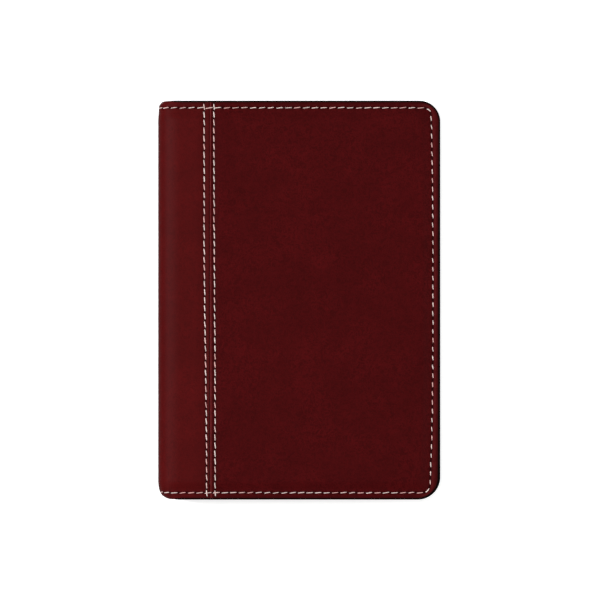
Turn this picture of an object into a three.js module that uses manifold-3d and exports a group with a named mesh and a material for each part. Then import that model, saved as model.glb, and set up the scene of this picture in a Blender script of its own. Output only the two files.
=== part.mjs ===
// A pocket diary in a padded leather cover, closed and lying on its back.
// Millimetres. X runs from the spine to the fore edge, Y from tail to head, Z up.
// The origin is under the middle of the closed diary.
import * as THREE from 'three';
import { mergeVertices } from 'three/addons/utils/BufferGeometryUtils.js';
import Module from 'manifold-3d';

const wasm = await Module();
wasm.setup();

// Overall size of the closed cover
const cover_width = 109.1;
const cover_height = 154;

// Layers of one cover, from the outside in
const leather = 0.9;
const padding = 0.25;
const board = 0.9;
const lining = 0.5;
const pastedown = 0.15;
const glue_line = 0.05;

// Text block
const flyleaf = 0.2;
const section_count = 12;
const section_pitch = 0.958;
const page_gap = 0.05;
const head_square = 3;
const fore_square = 3.4;
const leaf_corner = 5;
const back_inset = 2.7;
const back_rounding = 0.7;
const fold_scallop = 0.3;
const fold_clearance = 0.2;
const least_fold = 0.3;

// Spine and hinges
const spine_depth = 9;
const spine_power = 2.2;
const spine_corner_head = 3.1;
const spine_corner_tail = 5.6;
const hinge_inset = 2.4;
const hinge_gap = 0.15;
const hinge_clearance = 0.05;
const least_leather = 0.1;
const card = 0.5;
const card_clearance = 0.1;
const card_margin = 7;
const card_end_gap = 1;
const cloth = 0.3;
const cloth_margin = 5;
const band_radius = 0.5;
const band_inset = 0.3;

// Leather rim, stitch groove and padded slope
const corner_head = 8.1;
const corner_tail = 8.7;
const rim_drop = 1;
const rim_leather = 1;
const spine_rim = 0.25;
const spine_rim_leather = 0.2;
const edge_round = 0.25;
const groove_width = 0.8;
const groove_depth = 0.3;
const groove_bevel = 0.2;
const slope_width = 4;
const slope_bend = 1.4;
const hollow_foot = 2.3;
const hollow_roof = 2.9;
const board_clearance = 0.3;
const stitch_corner = 2.9;
const corner_taper = 0.7;
const least_corner = 1.2;

// Where the spine strip meets the panel, measured from the spine edge
const seam_place = 20.1;
const seam_gap = 0.1;
const seam_crease = 0.35;
const strip_step = 0.15;
const strip_row = 17.95;
const panel_row = 21.55;
const lining_start = 8;
const board_start = 9.6;
const pastedown_start = 9;
const pastedown_step = 0.2;

// How far a cutter reaches beyond what it cuts
const cutter_reach = 5;

// How far lines lie in from the cover's edges: head, tail, and the fore edge
// at its middle and at its two ends
const cover_edge = { head: 0, tail: 0, fore: 0, fore_head: 0, fore_tail: 0 };
const leather_edge = { head: 0.6, tail: 0.6, fore: 0.8, fore_head: 0.55, fore_tail: 1.1 };
const stitch_line = { head: 2.65, tail: 2.5, fore: 2.67, fore_head: 3.7, fore_tail: 4.1 };

// Worked out from the sizes above
const half_height = cover_height / 2;
const cover_stack = leather + glue_line + padding + board + lining;
const inner_face = cover_stack + pastedown;
const block_bottom = inner_face + flyleaf;
const thickness = 2 * block_bottom + section_count * section_pitch;
const middle = thickness / 2;
const strip_half = middle - strip_step;
const strip_leather = leather - strip_step;
const rim_floor = rim_drop + rim_leather;
const leaf_height = cover_height - 2 * head_square;
const half_leaf = leaf_height / 2;
const pastedown_margin = head_square + pastedown_step;
const hinge_height = middle - strip_half * curveHeight(hinge_inset);
const hinge_angle = Math.asin((1 - hinge_inset / spine_depth) ** (spine_power / 2));

// Colours
const leather_colour = new THREE.MeshStandardMaterial({ color: 0x4a1012, roughness: 0.45 });
const strip_colour = new THREE.MeshStandardMaterial({ color: 0x571618, roughness: 0.38 });
const lining_colour = new THREE.MeshStandardMaterial({ color: 0x17100f, roughness: 0.7 });
const board_colour = new THREE.MeshStandardMaterial({ color: 0x8d8376, roughness: 0.95 });
const padding_colour = new THREE.MeshStandardMaterial({ color: 0xd9d4c8, roughness: 1 });
const paper_colour = new THREE.MeshStandardMaterial({ color: 0xf1ecdf, roughness: 0.9 });
const endpaper_colour = new THREE.MeshStandardMaterial({ color: 0x6b2a2b, roughness: 0.9 });
const cloth_colour = new THREE.MeshStandardMaterial({ color: 0xe4dfd2, roughness: 1 });
const band_colour = new THREE.MeshStandardMaterial({ color: 0x7c2022, roughness: 0.8 });

// Height of the spine's curve, as a share of half the thickness, at an inset from the spine edge
function curveHeight(inset) {
  return (1 - (1 - inset / spine_depth) ** spine_power) ** (1 / spine_power);
}

function smooth(share) {
  const t = Math.min(1, Math.max(0, share));
  return t * t * (3 - 2 * t);
}

function fromSpine(inset) {
  return inset - cover_width / 2;
}

// A closed body from points and faces, turned so that its faces point out
function body(points, faces) {
  let volume = 0;
  for (const [a, b, c] of faces) {
    volume += points[a].dot(new THREE.Vector3().crossVectors(points[b], points[c]));
  }
  const corners = faces.flatMap(([a, b, c]) => (volume < 0 ? [a, c, b] : [a, b, c]));
  const geometry = new THREE.BufferGeometry().setFromPoints(points);
  geometry.setIndex(corners);
  return geometry;
}

function quad(faces, a, b, c, d) {
  faces.push([a, b, c], [a, c, d]);
}

// Stacked closed outlines joined side to side, with a flat cap at each end
function loft(rings) {
  const count = rings[0].length;
  const points = rings.flat();
  const faces = [];
  for (let level = 0; level + 1 < rings.length; level++) {
    for (let i = 0; i < count; i++) {
      const next = (i + 1) % count;
      const low = level * count;
      const high = low + count;
      quad(faces, low + i, low + next, high + next, high + i);
    }
  }
  const last = points.length - count;
  for (let i = 1; i + 1 < count; i++) {
    faces.push([0, i + 1, i], [last, last + i, last + i + 1]);
  }
  return body(points, faces);
}

// A skin between an outer and an inner grid of points, closed along its four borders
function skin(outer, inner) {
  const rows = outer.length;
  const columns = outer[0].length;
  const points = [...outer.flat(), ...inner.flat()];
  const under = rows * columns;
  const faces = [];
  for (let i = 0; i + 1 < rows; i++) {
    for (let j = 0; j + 1 < columns; j++) {
      const corner = i * columns + j;
      const across = corner + columns;
      quad(faces, corner, across, across + 1, corner + 1);
      quad(faces, under + corner, under + corner + 1, under + across + 1, under + across);
    }
  }
  const border = [];
  for (let i = 0; i + 1 < rows; i++) border.push(i * columns);
  for (let j = 0; j + 1 < columns; j++) border.push((rows - 1) * columns + j);
  for (let i = rows - 1; i > 0; i--) border.push(i * columns + columns - 1);
  for (let j = columns - 1; j > 0; j--) border.push(j);
  border.forEach((from, place) => {
    const to = border[(place + 1) % border.length];
    quad(faces, from, under + from, under + to, to);
  });
  return body(points, faces);
}

function toSolid(geometry) {
  const bare = geometry.clone();
  bare.deleteAttribute('normal');
  bare.deleteAttribute('uv');
  const merged = mergeVertices(bare, 1e-4);
  return new wasm.Manifold(new wasm.Mesh({
    numProp: 3,
    vertProperties: merged.attributes.position.array,
    triVerts: new Uint32Array(merged.index.array),
  }));
}

function toGeometry(solid) {
  const mesh = solid.getMesh();
  const geometry = new THREE.BufferGeometry();
  geometry.setAttribute('position', new THREE.BufferAttribute(mesh.vertProperties, 3));
  geometry.setIndex(new THREE.BufferAttribute(mesh.triVerts, 1));
  return geometry;
}

// A plate of one outline between two heights
function plate(outline, from, to) {
  const shape = new THREE.Shape(outline);
  const geometry = new THREE.ExtrudeGeometry(shape, { depth: to - from, bevelEnabled: false });
  return geometry.translate(0, 0, from);
}

// A bar whose section lies in the XZ plane, centred on the middle of the height
function bar(section, length) {
  const shape = new THREE.Shape(section);
  const geometry = new THREE.ExtrudeGeometry(shape, { depth: length, bevelEnabled: false });
  return geometry.rotateX(Math.PI / 2).translate(0, length / 2, 0);
}

// The front cover is the back cover's other hand, turned over onto the block
function turnedOver(geometry) {
  const turned = geometry.clone();
  const place = turned.getAttribute('position');
  for (let i = 0; i < place.count; i++) place.setZ(i, thickness - place.getZ(i));
  const whole = turned.index ?? new THREE.BufferAttribute(
    Uint32Array.from({ length: place.count }, (_, i) => i), 1);
  const order = whole.array.slice();
  for (let i = 0; i < order.length; i += 3) [order[i], order[i + 1]] = [order[i + 1], order[i]];
  turned.setIndex(new THREE.BufferAttribute(order, 1));
  return turned;
}

// Inset of a line from the fore edge at height y: it bows towards its two ends
function foreInset(line, y) {
  const end = y > 0 ? line.fore_head : line.fore_tail;
  return line.fore + (end - line.fore) * Math.abs(y / half_height) ** 3;
}

// The outline that lies `within` a line, with its fore corners rounded
function outline(line, within, start, radius_head, radius_tail) {
  const corner_steps = 6;
  const edge_steps = 6;
  const top = half_height - line.head - within;
  const bottom = -half_height + line.tail + within;
  const points = [];
  const add = (x, y) => points.push(new THREE.Vector2(fromSpine(x), y));
  const foreAt = (y) => cover_width - foreInset(line, y) - within;
  const low = bottom + radius_tail;
  const high = top - radius_head;
  add(start, bottom);
  for (let i = 0; i < corner_steps; i++) {
    const turn = (i / corner_steps - 1) * Math.PI / 2;
    add(foreAt(low) + radius_tail * (Math.cos(turn) - 1), low + radius_tail * Math.sin(turn));
  }
  for (let i = 0; i <= edge_steps; i++) {
    const y = low + (high - low) * i / edge_steps;
    add(foreAt(y), y);
  }
  for (let i = 1; i <= corner_steps; i++) {
    const turn = i / corner_steps * Math.PI / 2;
    add(foreAt(high) + radius_head * (Math.cos(turn) - 1), high + radius_head * Math.sin(turn));
  }
  add(start, top);
  return points;
}

// The leather's section across its rim, from the edge in: how far it lies below the padded
// face, whether the stitch groove runs there, and whether the hollow for the board has begun
function rimStations() {
  const half = groove_width / 2;
  const slope = (within) => rim_drop * (1 - smooth((within - half - groove_bevel) / slope_width));
  return [
    { line: leather_edge, within: 0, drop: rim_drop + edge_round, groove: 0, hollow: 0 },
    { line: leather_edge, within: edge_round, drop: rim_drop, groove: 0, hollow: 0 },
    { line: stitch_line, within: -half - groove_bevel, drop: rim_drop, groove: 0, hollow: 0 },
    { line: stitch_line, within: -half, drop: rim_drop, groove: groove_depth, hollow: 0 },
    { line: stitch_line, within: half, drop: rim_drop, groove: groove_depth, hollow: 0 },
    { line: stitch_line, within: half + groove_bevel, drop: rim_drop, groove: 0, hollow: 0 },
    { line: stitch_line, within: slope_bend, drop: slope(slope_bend), groove: 0, hollow: 0 },
    { line: stitch_line, within: hollow_foot, drop: slope(hollow_foot), groove: 0, hollow: 0 },
    { line: stitch_line, within: hollow_roof, drop: slope(hollow_roof), groove: 0, hollow: 1 },
    { line: stitch_line, within: slope_width, drop: slope(slope_width), groove: 0, hollow: 1 },
    { line: stitch_line, within: half + groove_bevel + slope_width, drop: 0, groove: 0, hollow: 1 },
  ];
}

// The panel: a padded plate with a rim on three sides, cut straight along the seam
function panelLeather() {
  const start = board_start;
  const radiusOf = (station, cover_radius) => (station.line === leather_edge
    ? cover_radius - leather_edge.fore - station.within
    : Math.max(least_corner, stitch_corner - corner_taper * station.within));
  const ring = (station, depth) => outline(
    station.line,
    station.within,
    start,
    radiusOf(station, corner_head),
    radiusOf(station, corner_tail),
  ).map((point) => new THREE.Vector3(point.x, point.y, depth));

  const stations = rimStations();
  const foot = stations.find((station) => station.within === hollow_foot);
  const roof = stations.find((station) => station.within === hollow_roof);
  const rings = [
    ring(roof, leather),
    ring(foot, rim_floor),
    ring(stations[0], rim_floor),
    ...stations.map((station) => ring(station, station.drop + station.groove)),
  ];
  const blank = toSolid(loft(rings));
  const seam = seam_place + seam_gap / 2;
  const kept = blank
    .subtract(toSolid(bar([
      new THREE.Vector2(fromSpine(0), -cutter_reach),
      new THREE.Vector2(fromSpine(seam + seam_crease), -cutter_reach),
      new THREE.Vector2(fromSpine(seam + seam_crease), 0),
      new THREE.Vector2(fromSpine(seam), seam_crease),
      new THREE.Vector2(fromSpine(seam), cover_stack),
      new THREE.Vector2(fromSpine(0), cover_stack),
    ], cover_height + 2 * cutter_reach)))
    .subtract(toSolid(rowGroove()));
  return toGeometry(kept);
}

// The cutter for the seam's stitch groove in the panel, which sinks with the rim at both ends
function rowGroove() {
  const half = groove_width / 2;
  const rings = [];
  for (const [y, station] of heights()) {
    const floor = station.drop + groove_depth;
    rings.push([
      new THREE.Vector3(fromSpine(panel_row - half - groove_bevel), y, station.drop),
      new THREE.Vector3(fromSpine(panel_row - half), y, floor),
      new THREE.Vector3(fromSpine(panel_row + half), y, floor),
      new THREE.Vector3(fromSpine(panel_row + half + groove_bevel), y, station.drop),
      new THREE.Vector3(fromSpine(panel_row + half + groove_bevel), y, -cutter_reach),
      new THREE.Vector3(fromSpine(panel_row - half - groove_bevel), y, -cutter_reach),
    ]);
  }
  rings[0].forEach((point) => { point.y -= cutter_reach; });
  rings.at(-1).forEach((point) => { point.y += cutter_reach; });
  return loft(rings);
}

// The rim's stations placed along Y, from tail to head
function heights() {
  const stations = rimStations();
  const tail = stations.map((station) => [
    -half_height + station.line.tail + station.within, station]);
  const head = stations.map((station) => [
    half_height - station.line.head - station.within, station]);
  return [...tail, ...head.reverse()];
}

// How far the spine's rounded corner has drawn the leather in at a height y
function cornerDraw(y) {
  const radius = y > 0 ? spine_corner_head : spine_corner_tail;
  const past = Math.abs(y) - (half_height - radius);
  return past > 0 ? radius - Math.sqrt(Math.max(0, radius * radius - past * past)) : 0;
}

// A point on or below the spine strip. The turn is 0 where the strip lies flat on the back
// cover, 90 degrees at the spine's middle and 180 where it lies flat on the front cover.
function stripPoint(turn, y, depth) {
  const depth_here = spine_depth - cornerDraw(y);
  const across = Math.sin(turn) ** (2 / spine_power);
  const up = Math.abs(Math.cos(turn)) ** (2 / spine_power);
  const lean = across ** (spine_power - 1) / depth_here;
  const rise = up ** (spine_power - 1) / strip_half;
  const length = Math.hypot(lean, rise);
  const inset = spine_depth - depth_here * across + depth * lean / length;
  const outside = middle - strip_half * up + depth * rise / length;
  return new THREE.Vector3(fromSpine(inset), y, turn > Math.PI / 2 ? thickness - outside : outside);
}

// Depths below the strip's face at one place: the outer face, then the inner one
function stripDepths(station, rim_share, row_groove) {
  const past_spine = (rim_share - spine_rim) / (1 - spine_rim);
  const groove = Math.max(station.groove, row_groove) * past_spine;
  const outer = rim_share * station.drop + groove;
  const step = spine_rim_leather + (rim_floor - leather - spine_rim_leather) * past_spine;
  return [outer, strip_leather + step * (1 - station.hollow)];
}

// Depth at which the flap's underside is pared, so that the leaves clear it as the hinge opens
function paredDepth(turn, y) {
  const face = stripPoint(turn, y, 0);
  const below = stripPoint(turn, y, 1);
  return (inner_face - hinge_clearance - face.z) / (below.z - face.z);
}

// The part of the spine strip that is glued to a cover, from the seam to the hinge
function spineFlap() {
  const seam = seam_place - seam_gap / 2;
  const half = groove_width / 2;
  const flat = [
    [seam, seam_crease],
    [seam - seam_crease, 0],
    [strip_row + half + groove_bevel, 0],
    [strip_row + half, groove_depth],
    [strip_row - half, groove_depth],
    [strip_row - half - groove_bevel, 0],
    [board_start, 0],
  ];
  const outer = [];
  const inner = [];
  for (const [inset, groove] of flat) {
    const face = [];
    const underside = [];
    for (const [y, station] of heights()) {
      const [outer_depth, inner_depth] = stripDepths(station, 1, groove);
      face.push(new THREE.Vector3(fromSpine(inset), y, strip_step + outer_depth));
      underside.push(new THREE.Vector3(fromSpine(inset), y, strip_step + inner_depth));
    }
    outer.push(face);
    inner.push(underside);
  }
  const steps = 7;
  const end = hinge_angle - hinge_gap / 2 / middle;
  for (let i = 1; i <= steps; i++) {
    const turn = end * i / steps;
    const share = 1 - (1 - spine_rim) * smooth(turn / hinge_angle);
    const rows = heights().map(([y, station]) => {
      const [outer_depth, inner_depth] = stripDepths(station, share, 0);
      const pared = Math.max(outer_depth + least_leather, Math.min(inner_depth, paredDepth(turn, y)));
      return [stripPoint(turn, y, outer_depth), stripPoint(turn, y, pared)];
    });
    outer.push(rows.map((pair) => pair[0]));
    inner.push(rows.map((pair) => pair[1]));
  }
  return skin(outer, inner);
}

// The free part of the spine strip, between the two hinges
function spineLeather() {
  const steps = 14;
  const start = hinge_angle + hinge_gap / 2 / middle;
  const outer = [];
  const inner = [];
  for (let i = 0; i <= steps; i++) {
    const turn = start + (Math.PI - 2 * start) * i / steps;
    const rows = heights().map(([y, station]) => {
      const [outer_depth, inner_depth] = stripDepths(station, spine_rim, 0);
      return [stripPoint(turn, y, outer_depth), stripPoint(turn, y, inner_depth)];
    });
    outer.push(rows.map((pair) => pair[0]));
    inner.push(rows.map((pair) => pair[1]));
  }
  return skin(outer, inner);
}

// The stiffening card that keeps the spine round
function spineCard() {
  const steps = 12;
  const start = hinge_angle + card_end_gap / strip_half;
  const near = strip_leather + card_clearance;
  const section = [];
  const at = (i, depth) => {
    const point = stripPoint(start + (Math.PI - 2 * start) * i / steps, 0, depth);
    return new THREE.Vector2(point.x, point.z);
  };
  for (let i = 0; i <= steps; i++) section.push(at(i, near));
  for (let i = steps; i >= 0; i--) section.push(at(i, near + card));
  return bar(section, cover_height - 2 * card_margin);
}

// The rounded back of the text block, as an inset from the spine edge at a height z
function blockBack(z) {
  const share = (z - middle) / (middle - block_bottom);
  return back_inset + back_rounding * share * share;
}

// The open-weave cloth glued over the back of the sections
function spineCloth() {
  const steps = 10;
  const section = [];
  const low = block_bottom + section_pitch;
  const rise = thickness - 2 * low;
  for (let i = 0; i <= steps; i++) {
    const z = low + rise * i / steps;
    section.push(new THREE.Vector2(fromSpine(blockBack(z) - glue_line - cloth), z));
  }
  for (let i = steps; i >= 0; i--) {
    const z = low + rise * i / steps;
    section.push(new THREE.Vector2(fromSpine(blockBack(z) - glue_line), z));
  }
  return bar(section, leaf_height - 2 * cloth_margin);
}

// Height of the bottom of a section in the closed block
function sectionBottom(index) {
  return block_bottom + index * section_pitch;
}

// Each section turns about a line that lies as far in from the hinge as it lies above it,
// so that neighbouring sections slide over each other and never press together
function sectionPivot(index) {
  const z = sectionBottom(index) + section_pitch / 2;
  const from_cover = index < section_count / 2 ? z : thickness - z;
  return { inset: hinge_inset + from_cover - hinge_height, z };
}

// Where the glued and sewn part of a section's fold ends
function foldEnd(index) {
  return sectionPivot(index).inset - section_pitch / 2 - fold_clearance;
}

// The folds of the sections, sewn through and glued into one stepped wedge
function sewnFolds() {
  const back = [];
  const front = [];
  for (let index = 0; index < section_count; index++) {
    const low = sectionBottom(index);
    const high = low + section_pitch;
    const crown = blockBack((low + high) / 2);
    if (foldEnd(index) - crown < least_fold) continue;
    back.push([crown + fold_scallop, low], [crown + fold_scallop / 4, low + section_pitch / 5]);
    back.push([crown, (low + high) / 2], [crown + fold_scallop / 4, high - section_pitch / 5]);
    front.push([foldEnd(index), low], [foldEnd(index), high]);
  }
  const section = [...back, ...front.reverse()];
  return bar(section.map(([inset, z]) => new THREE.Vector2(fromSpine(inset), z)), leaf_height);
}

// A rolled band over the ends of the folds
function endBand(side) {
  const steps = 8;
  const low = block_bottom + 2 * section_pitch;
  const path = new THREE.CatmullRomCurve3(Array.from({ length: 5 }, (_, i) => {
    const z = low + (thickness - 2 * low) * i / 4;
    return new THREE.Vector3(fromSpine(blockBack(z) + band_inset + band_radius), 0, z);
  }));
  const round = new THREE.Shape().absarc(0, 0, band_radius, 0, 2 * Math.PI);
  const roll = new THREE.ExtrudeGeometry(round, { steps, extrudePath: path, curveSegments: 4 });
  return roll.translate(0, side * (half_leaf + glue_line + band_radius), 0);
}

// The outline of the leaves, from where they leave the folds
function leafOutline(start) {
  const line = {
    head: half_height - half_leaf,
    tail: half_height - half_leaf,
    fore: fore_square,
    fore_head: fore_square,
    fore_tail: fore_square,
  };
  return outline(line, 0, start, leaf_corner, leaf_corner);
}

function leafStart(index) {
  return sectionPivot(index).inset + section_pitch / 2 + fold_clearance;
}

function section(index) {
  const low = sectionBottom(index) + page_gap / 2;
  const outline_here = leafOutline(leafStart(index));
  return plate(outline_here, low, low + section_pitch - page_gap);
}

function flyleafSheet() {
  return plate(leafOutline(leafStart(0)), inner_face + page_gap / 2, block_bottom - page_gap / 2);
}

function liningSheet() {
  const shape = outline(cover_edge, 0, lining_start, corner_head, corner_tail);
  return plate(shape, cover_stack - lining, cover_stack);
}

function boardOutline(margin) {
  const within = hollow_roof + board_clearance + margin;
  return outline(stitch_line, within, board_start + margin, stitch_corner, stitch_corner);
}

function boardSheet() {
  return plate(boardOutline(0), cover_stack - lining - board, cover_stack - lining);
}

function paddingSheet() {
  const from = leather + glue_line;
  return plate(boardOutline(board_clearance), from, from + padding);
}

function pastedownSheet() {
  const margin = pastedown_margin;
  const radius_head = corner_head - margin;
  const radius_tail = corner_tail - margin;
  const shape = outline(cover_edge, margin, pastedown_start, radius_head, radius_tail);
  return plate(shape, cover_stack, inner_face);
}

function named(name, geometry, material) {
  const finished = geometry.index ? geometry.toNonIndexed() : geometry;
  finished.computeVertexNormals();
  const mesh = new THREE.Mesh(finished, material);
  mesh.name = name;
  return mesh;
}

function cover(side) {
  const placed = (geometry) => (side === 'front' ? turnedOver(geometry) : geometry);
  const group = new THREE.Group();
  group.add(
    named(`${side}_panel_leather`, placed(panelLeather()), leather_colour),
    named(`${side}_spine_flap`, placed(spineFlap()), strip_colour),
    named(`${side}_padding`, placed(paddingSheet()), padding_colour),
    named(`${side}_board`, placed(boardSheet()), board_colour),
    named(`${side}_lining`, placed(liningSheet()), lining_colour),
    named(`${side}_pastedown`, placed(pastedownSheet()), endpaper_colour),
  );
  return group;
}

function spine() {
  const group = new THREE.Group();
  group.add(
    named('spine_leather', spineLeather(), strip_colour),
    named('spine_card', spineCard(), board_colour),
    named('spine_cloth', spineCloth(), cloth_colour),
    named('sewn_folds', sewnFolds(), paper_colour),
    named('head_band', endBand(1), band_colour),
    named('tail_band', endBand(-1), band_colour),
  );
  return group;
}

// Sections are counted from the front cover, as a reader counts them
function textBlock() {
  const group = new THREE.Group();
  group.add(named('front_flyleaf', turnedOver(flyleafSheet()), endpaper_colour));
  for (let number = 1; number <= section_count; number++) {
    const name = `section_${String(number).padStart(2, '0')}`;
    group.add(named(name, section(section_count - number), paper_colour));
  }
  group.add(named('back_flyleaf', flyleafSheet(), endpaper_colour));
  return group;
}

const diary = new THREE.Group();
diary.name = 'diary';
diary.add(cover('back'), spine(), textBlock(), cover('front'));

export default diary;
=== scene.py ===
# %% [markdown]
# # A pocket diary in padded leather
#
# This lesson dresses a diary that was built as a mechanism first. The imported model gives
# every body, hinge and sheet its place, and nothing here moves them. What Blender adds is
# what a hand would feel: soft leather over foam, a line of waxed thread, the cut edges of
# 384 leaves. Lengths are written in millimetres, as a bookbinder would give them,
# and turned into metres at the last moment.

# %% Load the frame
import math
import random
from bisect import bisect_right

import bmesh
import bpy
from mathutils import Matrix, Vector, kdtree, noise


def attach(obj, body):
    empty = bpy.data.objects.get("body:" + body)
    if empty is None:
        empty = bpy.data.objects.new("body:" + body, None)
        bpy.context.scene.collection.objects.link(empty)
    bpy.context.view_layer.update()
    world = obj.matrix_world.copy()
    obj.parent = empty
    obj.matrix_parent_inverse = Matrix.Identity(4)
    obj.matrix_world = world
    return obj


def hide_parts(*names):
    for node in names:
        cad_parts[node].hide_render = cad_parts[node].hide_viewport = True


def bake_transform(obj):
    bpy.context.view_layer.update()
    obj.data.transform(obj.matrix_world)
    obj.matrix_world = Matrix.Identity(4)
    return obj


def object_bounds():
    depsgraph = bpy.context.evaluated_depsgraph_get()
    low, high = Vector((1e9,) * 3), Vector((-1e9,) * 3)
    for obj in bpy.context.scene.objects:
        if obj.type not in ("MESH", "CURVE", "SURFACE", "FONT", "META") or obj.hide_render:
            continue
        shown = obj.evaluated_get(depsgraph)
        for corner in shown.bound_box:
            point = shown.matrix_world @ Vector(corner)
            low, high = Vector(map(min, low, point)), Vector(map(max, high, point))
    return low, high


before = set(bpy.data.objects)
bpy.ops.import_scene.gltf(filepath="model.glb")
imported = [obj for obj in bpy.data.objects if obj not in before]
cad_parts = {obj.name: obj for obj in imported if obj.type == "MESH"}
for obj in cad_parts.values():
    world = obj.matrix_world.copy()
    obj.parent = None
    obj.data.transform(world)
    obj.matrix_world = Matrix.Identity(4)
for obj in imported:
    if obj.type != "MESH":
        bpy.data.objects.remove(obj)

cad_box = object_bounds()
MM = 0.001
cover_width, cover_height, thickness = [
    (high - low) / MM for low, high in zip(*cad_box)
]

# %% [markdown]
# ## The camera
#
# The diary was photographed from straight above with a long lens. A camera that isn't
# turned at all looks down the Z axis with Y upwards, so it only needs a height. The height
# follows from the lens and from how much of the table the picture takes in. The diary lies
# a little off the middle of the picture, so the camera stands a little off the middle too.

# %% Camera
picture_width = 231.6
lens = 250.0
sensor = 36.0
looked_at = (0.41, 0.05, thickness - 2.35)

camera_data = bpy.data.cameras.new("camera")
camera_data.lens = lens
camera_data.sensor_width = sensor
camera_data.clip_start = 0.01
camera = bpy.data.objects.new("camera", camera_data)
bpy.context.scene.collection.objects.link(camera)
rise = picture_width * lens / sensor
camera.location = Vector((looked_at[0], looked_at[1], looked_at[2] + rise)) * MM
bpy.context.scene.camera = camera
bpy.context.scene.view_settings.view_transform = "Standard"
print(f"camera {rise:.0f} mm above the diary")

# %% [markdown]
# ## Small tools for node trees
#
# A material is a tree of nodes. One helper adds a node and fills its sockets, with plain
# values or with links to other nodes, and the others are short names for the kinds of node
# that come back all the time. Colours are written as they look on a screen, 0 to 255, and
# turned into the linear light that the renderer works in.


# %% Node helpers
def screen(red, green, blue):
    def linear(value):
        share = value / 255
        return share / 12.92 if share <= 0.04045 else ((share + 0.055) / 1.055) ** 2.4
    return (linear(red), linear(green), linear(blue), 1.0)


def node(tree, kind, inputs=None, **settings):
    made = tree.nodes.new(kind)
    for key, value in settings.items():
        setattr(made, key, value)
    for key, value in (inputs or {}).items():
        if isinstance(value, bpy.types.NodeSocket):
            tree.links.new(value, made.inputs[key])
        else:
            made.inputs[key].default_value = value
    return made


def maths(tree, operation, first, second=0.0, third=0.0):
    made = node(tree, "ShaderNodeMath", {0: first, 1: second, 2: third}, operation=operation)
    return made.outputs[0]


def weighted(tree, *pairs):
    """The sum of several values, each times its own weight."""
    total = None
    for value, weight in pairs:
        part = maths(tree, "MULTIPLY", value, weight)
        total = part if total is None else maths(tree, "ADD", total, part)
    return total


def between(tree, value, low, high, to_low=0.0, to_high=1.0):
    """Eases from one number to another while the value runs from low to high."""
    made = node(tree, "ShaderNodeMapRange", {
        "Value": value, "From Min": low, "From Max": high, "To Min": to_low, "To Max": to_high})
    made.interpolation_type = "SMOOTHSTEP"
    return made.outputs["Result"]


def mixed(tree, share, first, second):
    """One colour passing into another; on this node the colour sockets are 6 and 7."""
    made = node(tree, "ShaderNodeMix", data_type="RGBA")
    for socket, value in ((0, share), (6, first), (7, second)):
        if isinstance(value, bpy.types.NodeSocket):
            tree.links.new(value, made.inputs[socket])
        else:
            made.inputs[socket].default_value = value
    return made.outputs[2]


def scaled(tree, vector, number):
    """A vector or a colour times one number."""
    made = node(tree, "ShaderNodeVectorMath", {0: vector, "Scale": number}, operation="SCALE")
    return made.outputs[0]


def cloudy(tree, place, scale, detail, **more):
    """Soft noise about 0.5; the scale is the number of blotches to a unit of place."""
    inputs = {"Vector": place, "Scale": scale, "Detail": detail, **more}
    return node(tree, "ShaderNodeTexNoise", inputs).outputs["Fac"]


def start_group(name, inputs, outputs):
    group = bpy.data.node_groups.new(name, "ShaderNodeTree")
    kinds = {"vector": "NodeSocketVector", "colour": "NodeSocketColor", "number": "NodeSocketFloat"}
    for label, kind in inputs.items():
        group.interface.new_socket(label, in_out="INPUT", socket_type=kinds[kind])
    for label, kind in outputs.items():
        group.interface.new_socket(label, in_out="OUTPUT", socket_type=kinds[kind])
    given = group.nodes.new("NodeGroupInput").outputs
    wanted = group.nodes.new("NodeGroupOutput").inputs
    return group, given, wanted


# %% [markdown]
# ## Shared surface effects
#
# Five effects come back in several materials, so each is a node group, built once:
#
# * `leather_grain` is what makes hide look like hide: small pebbles parted by fine creases,
#   wrinkles that branch like veins, dark pores, and patches that took the dye differently.
# * `painted_shade` darkens leather with painted shade: round the needle holes, beside the
#   seam and its rows, at the rounded cut edges and on the spine's sides. The amount is
#   stored on the mesh's points.
# * `edge_sheen` paints a highlight into the leather's colour: lighter leather on the panel's
#   folded edge at the seam and along the rim of the fore edge, by an amount that is stored on
#   the points too.
# * `paper_fibre` gives paper and thread their cloudy tone and soft tooth.
# * `weave` crosses two sets of threads, for foam felt and cloth.
#
# They take the place of a point on the object at rest, in metres, so a surface that bends
# keeps its pattern. Inside a group the place is turned into millimetres first.


# %% Leather grain
def branching(group, place, scale, width):
    """Thin lines that branch and stop: a noise is 1 where it crosses its own middle."""
    fold = cloudy(group, place, scale, 3.0, Roughness=0.6, Distortion=0.9)
    off_middle = maths(group, "ABSOLUTE", maths(group, "SUBTRACT", fold, 0.5))
    return between(group, off_middle, 0.0, width, 1.0, 0.0)


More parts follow.
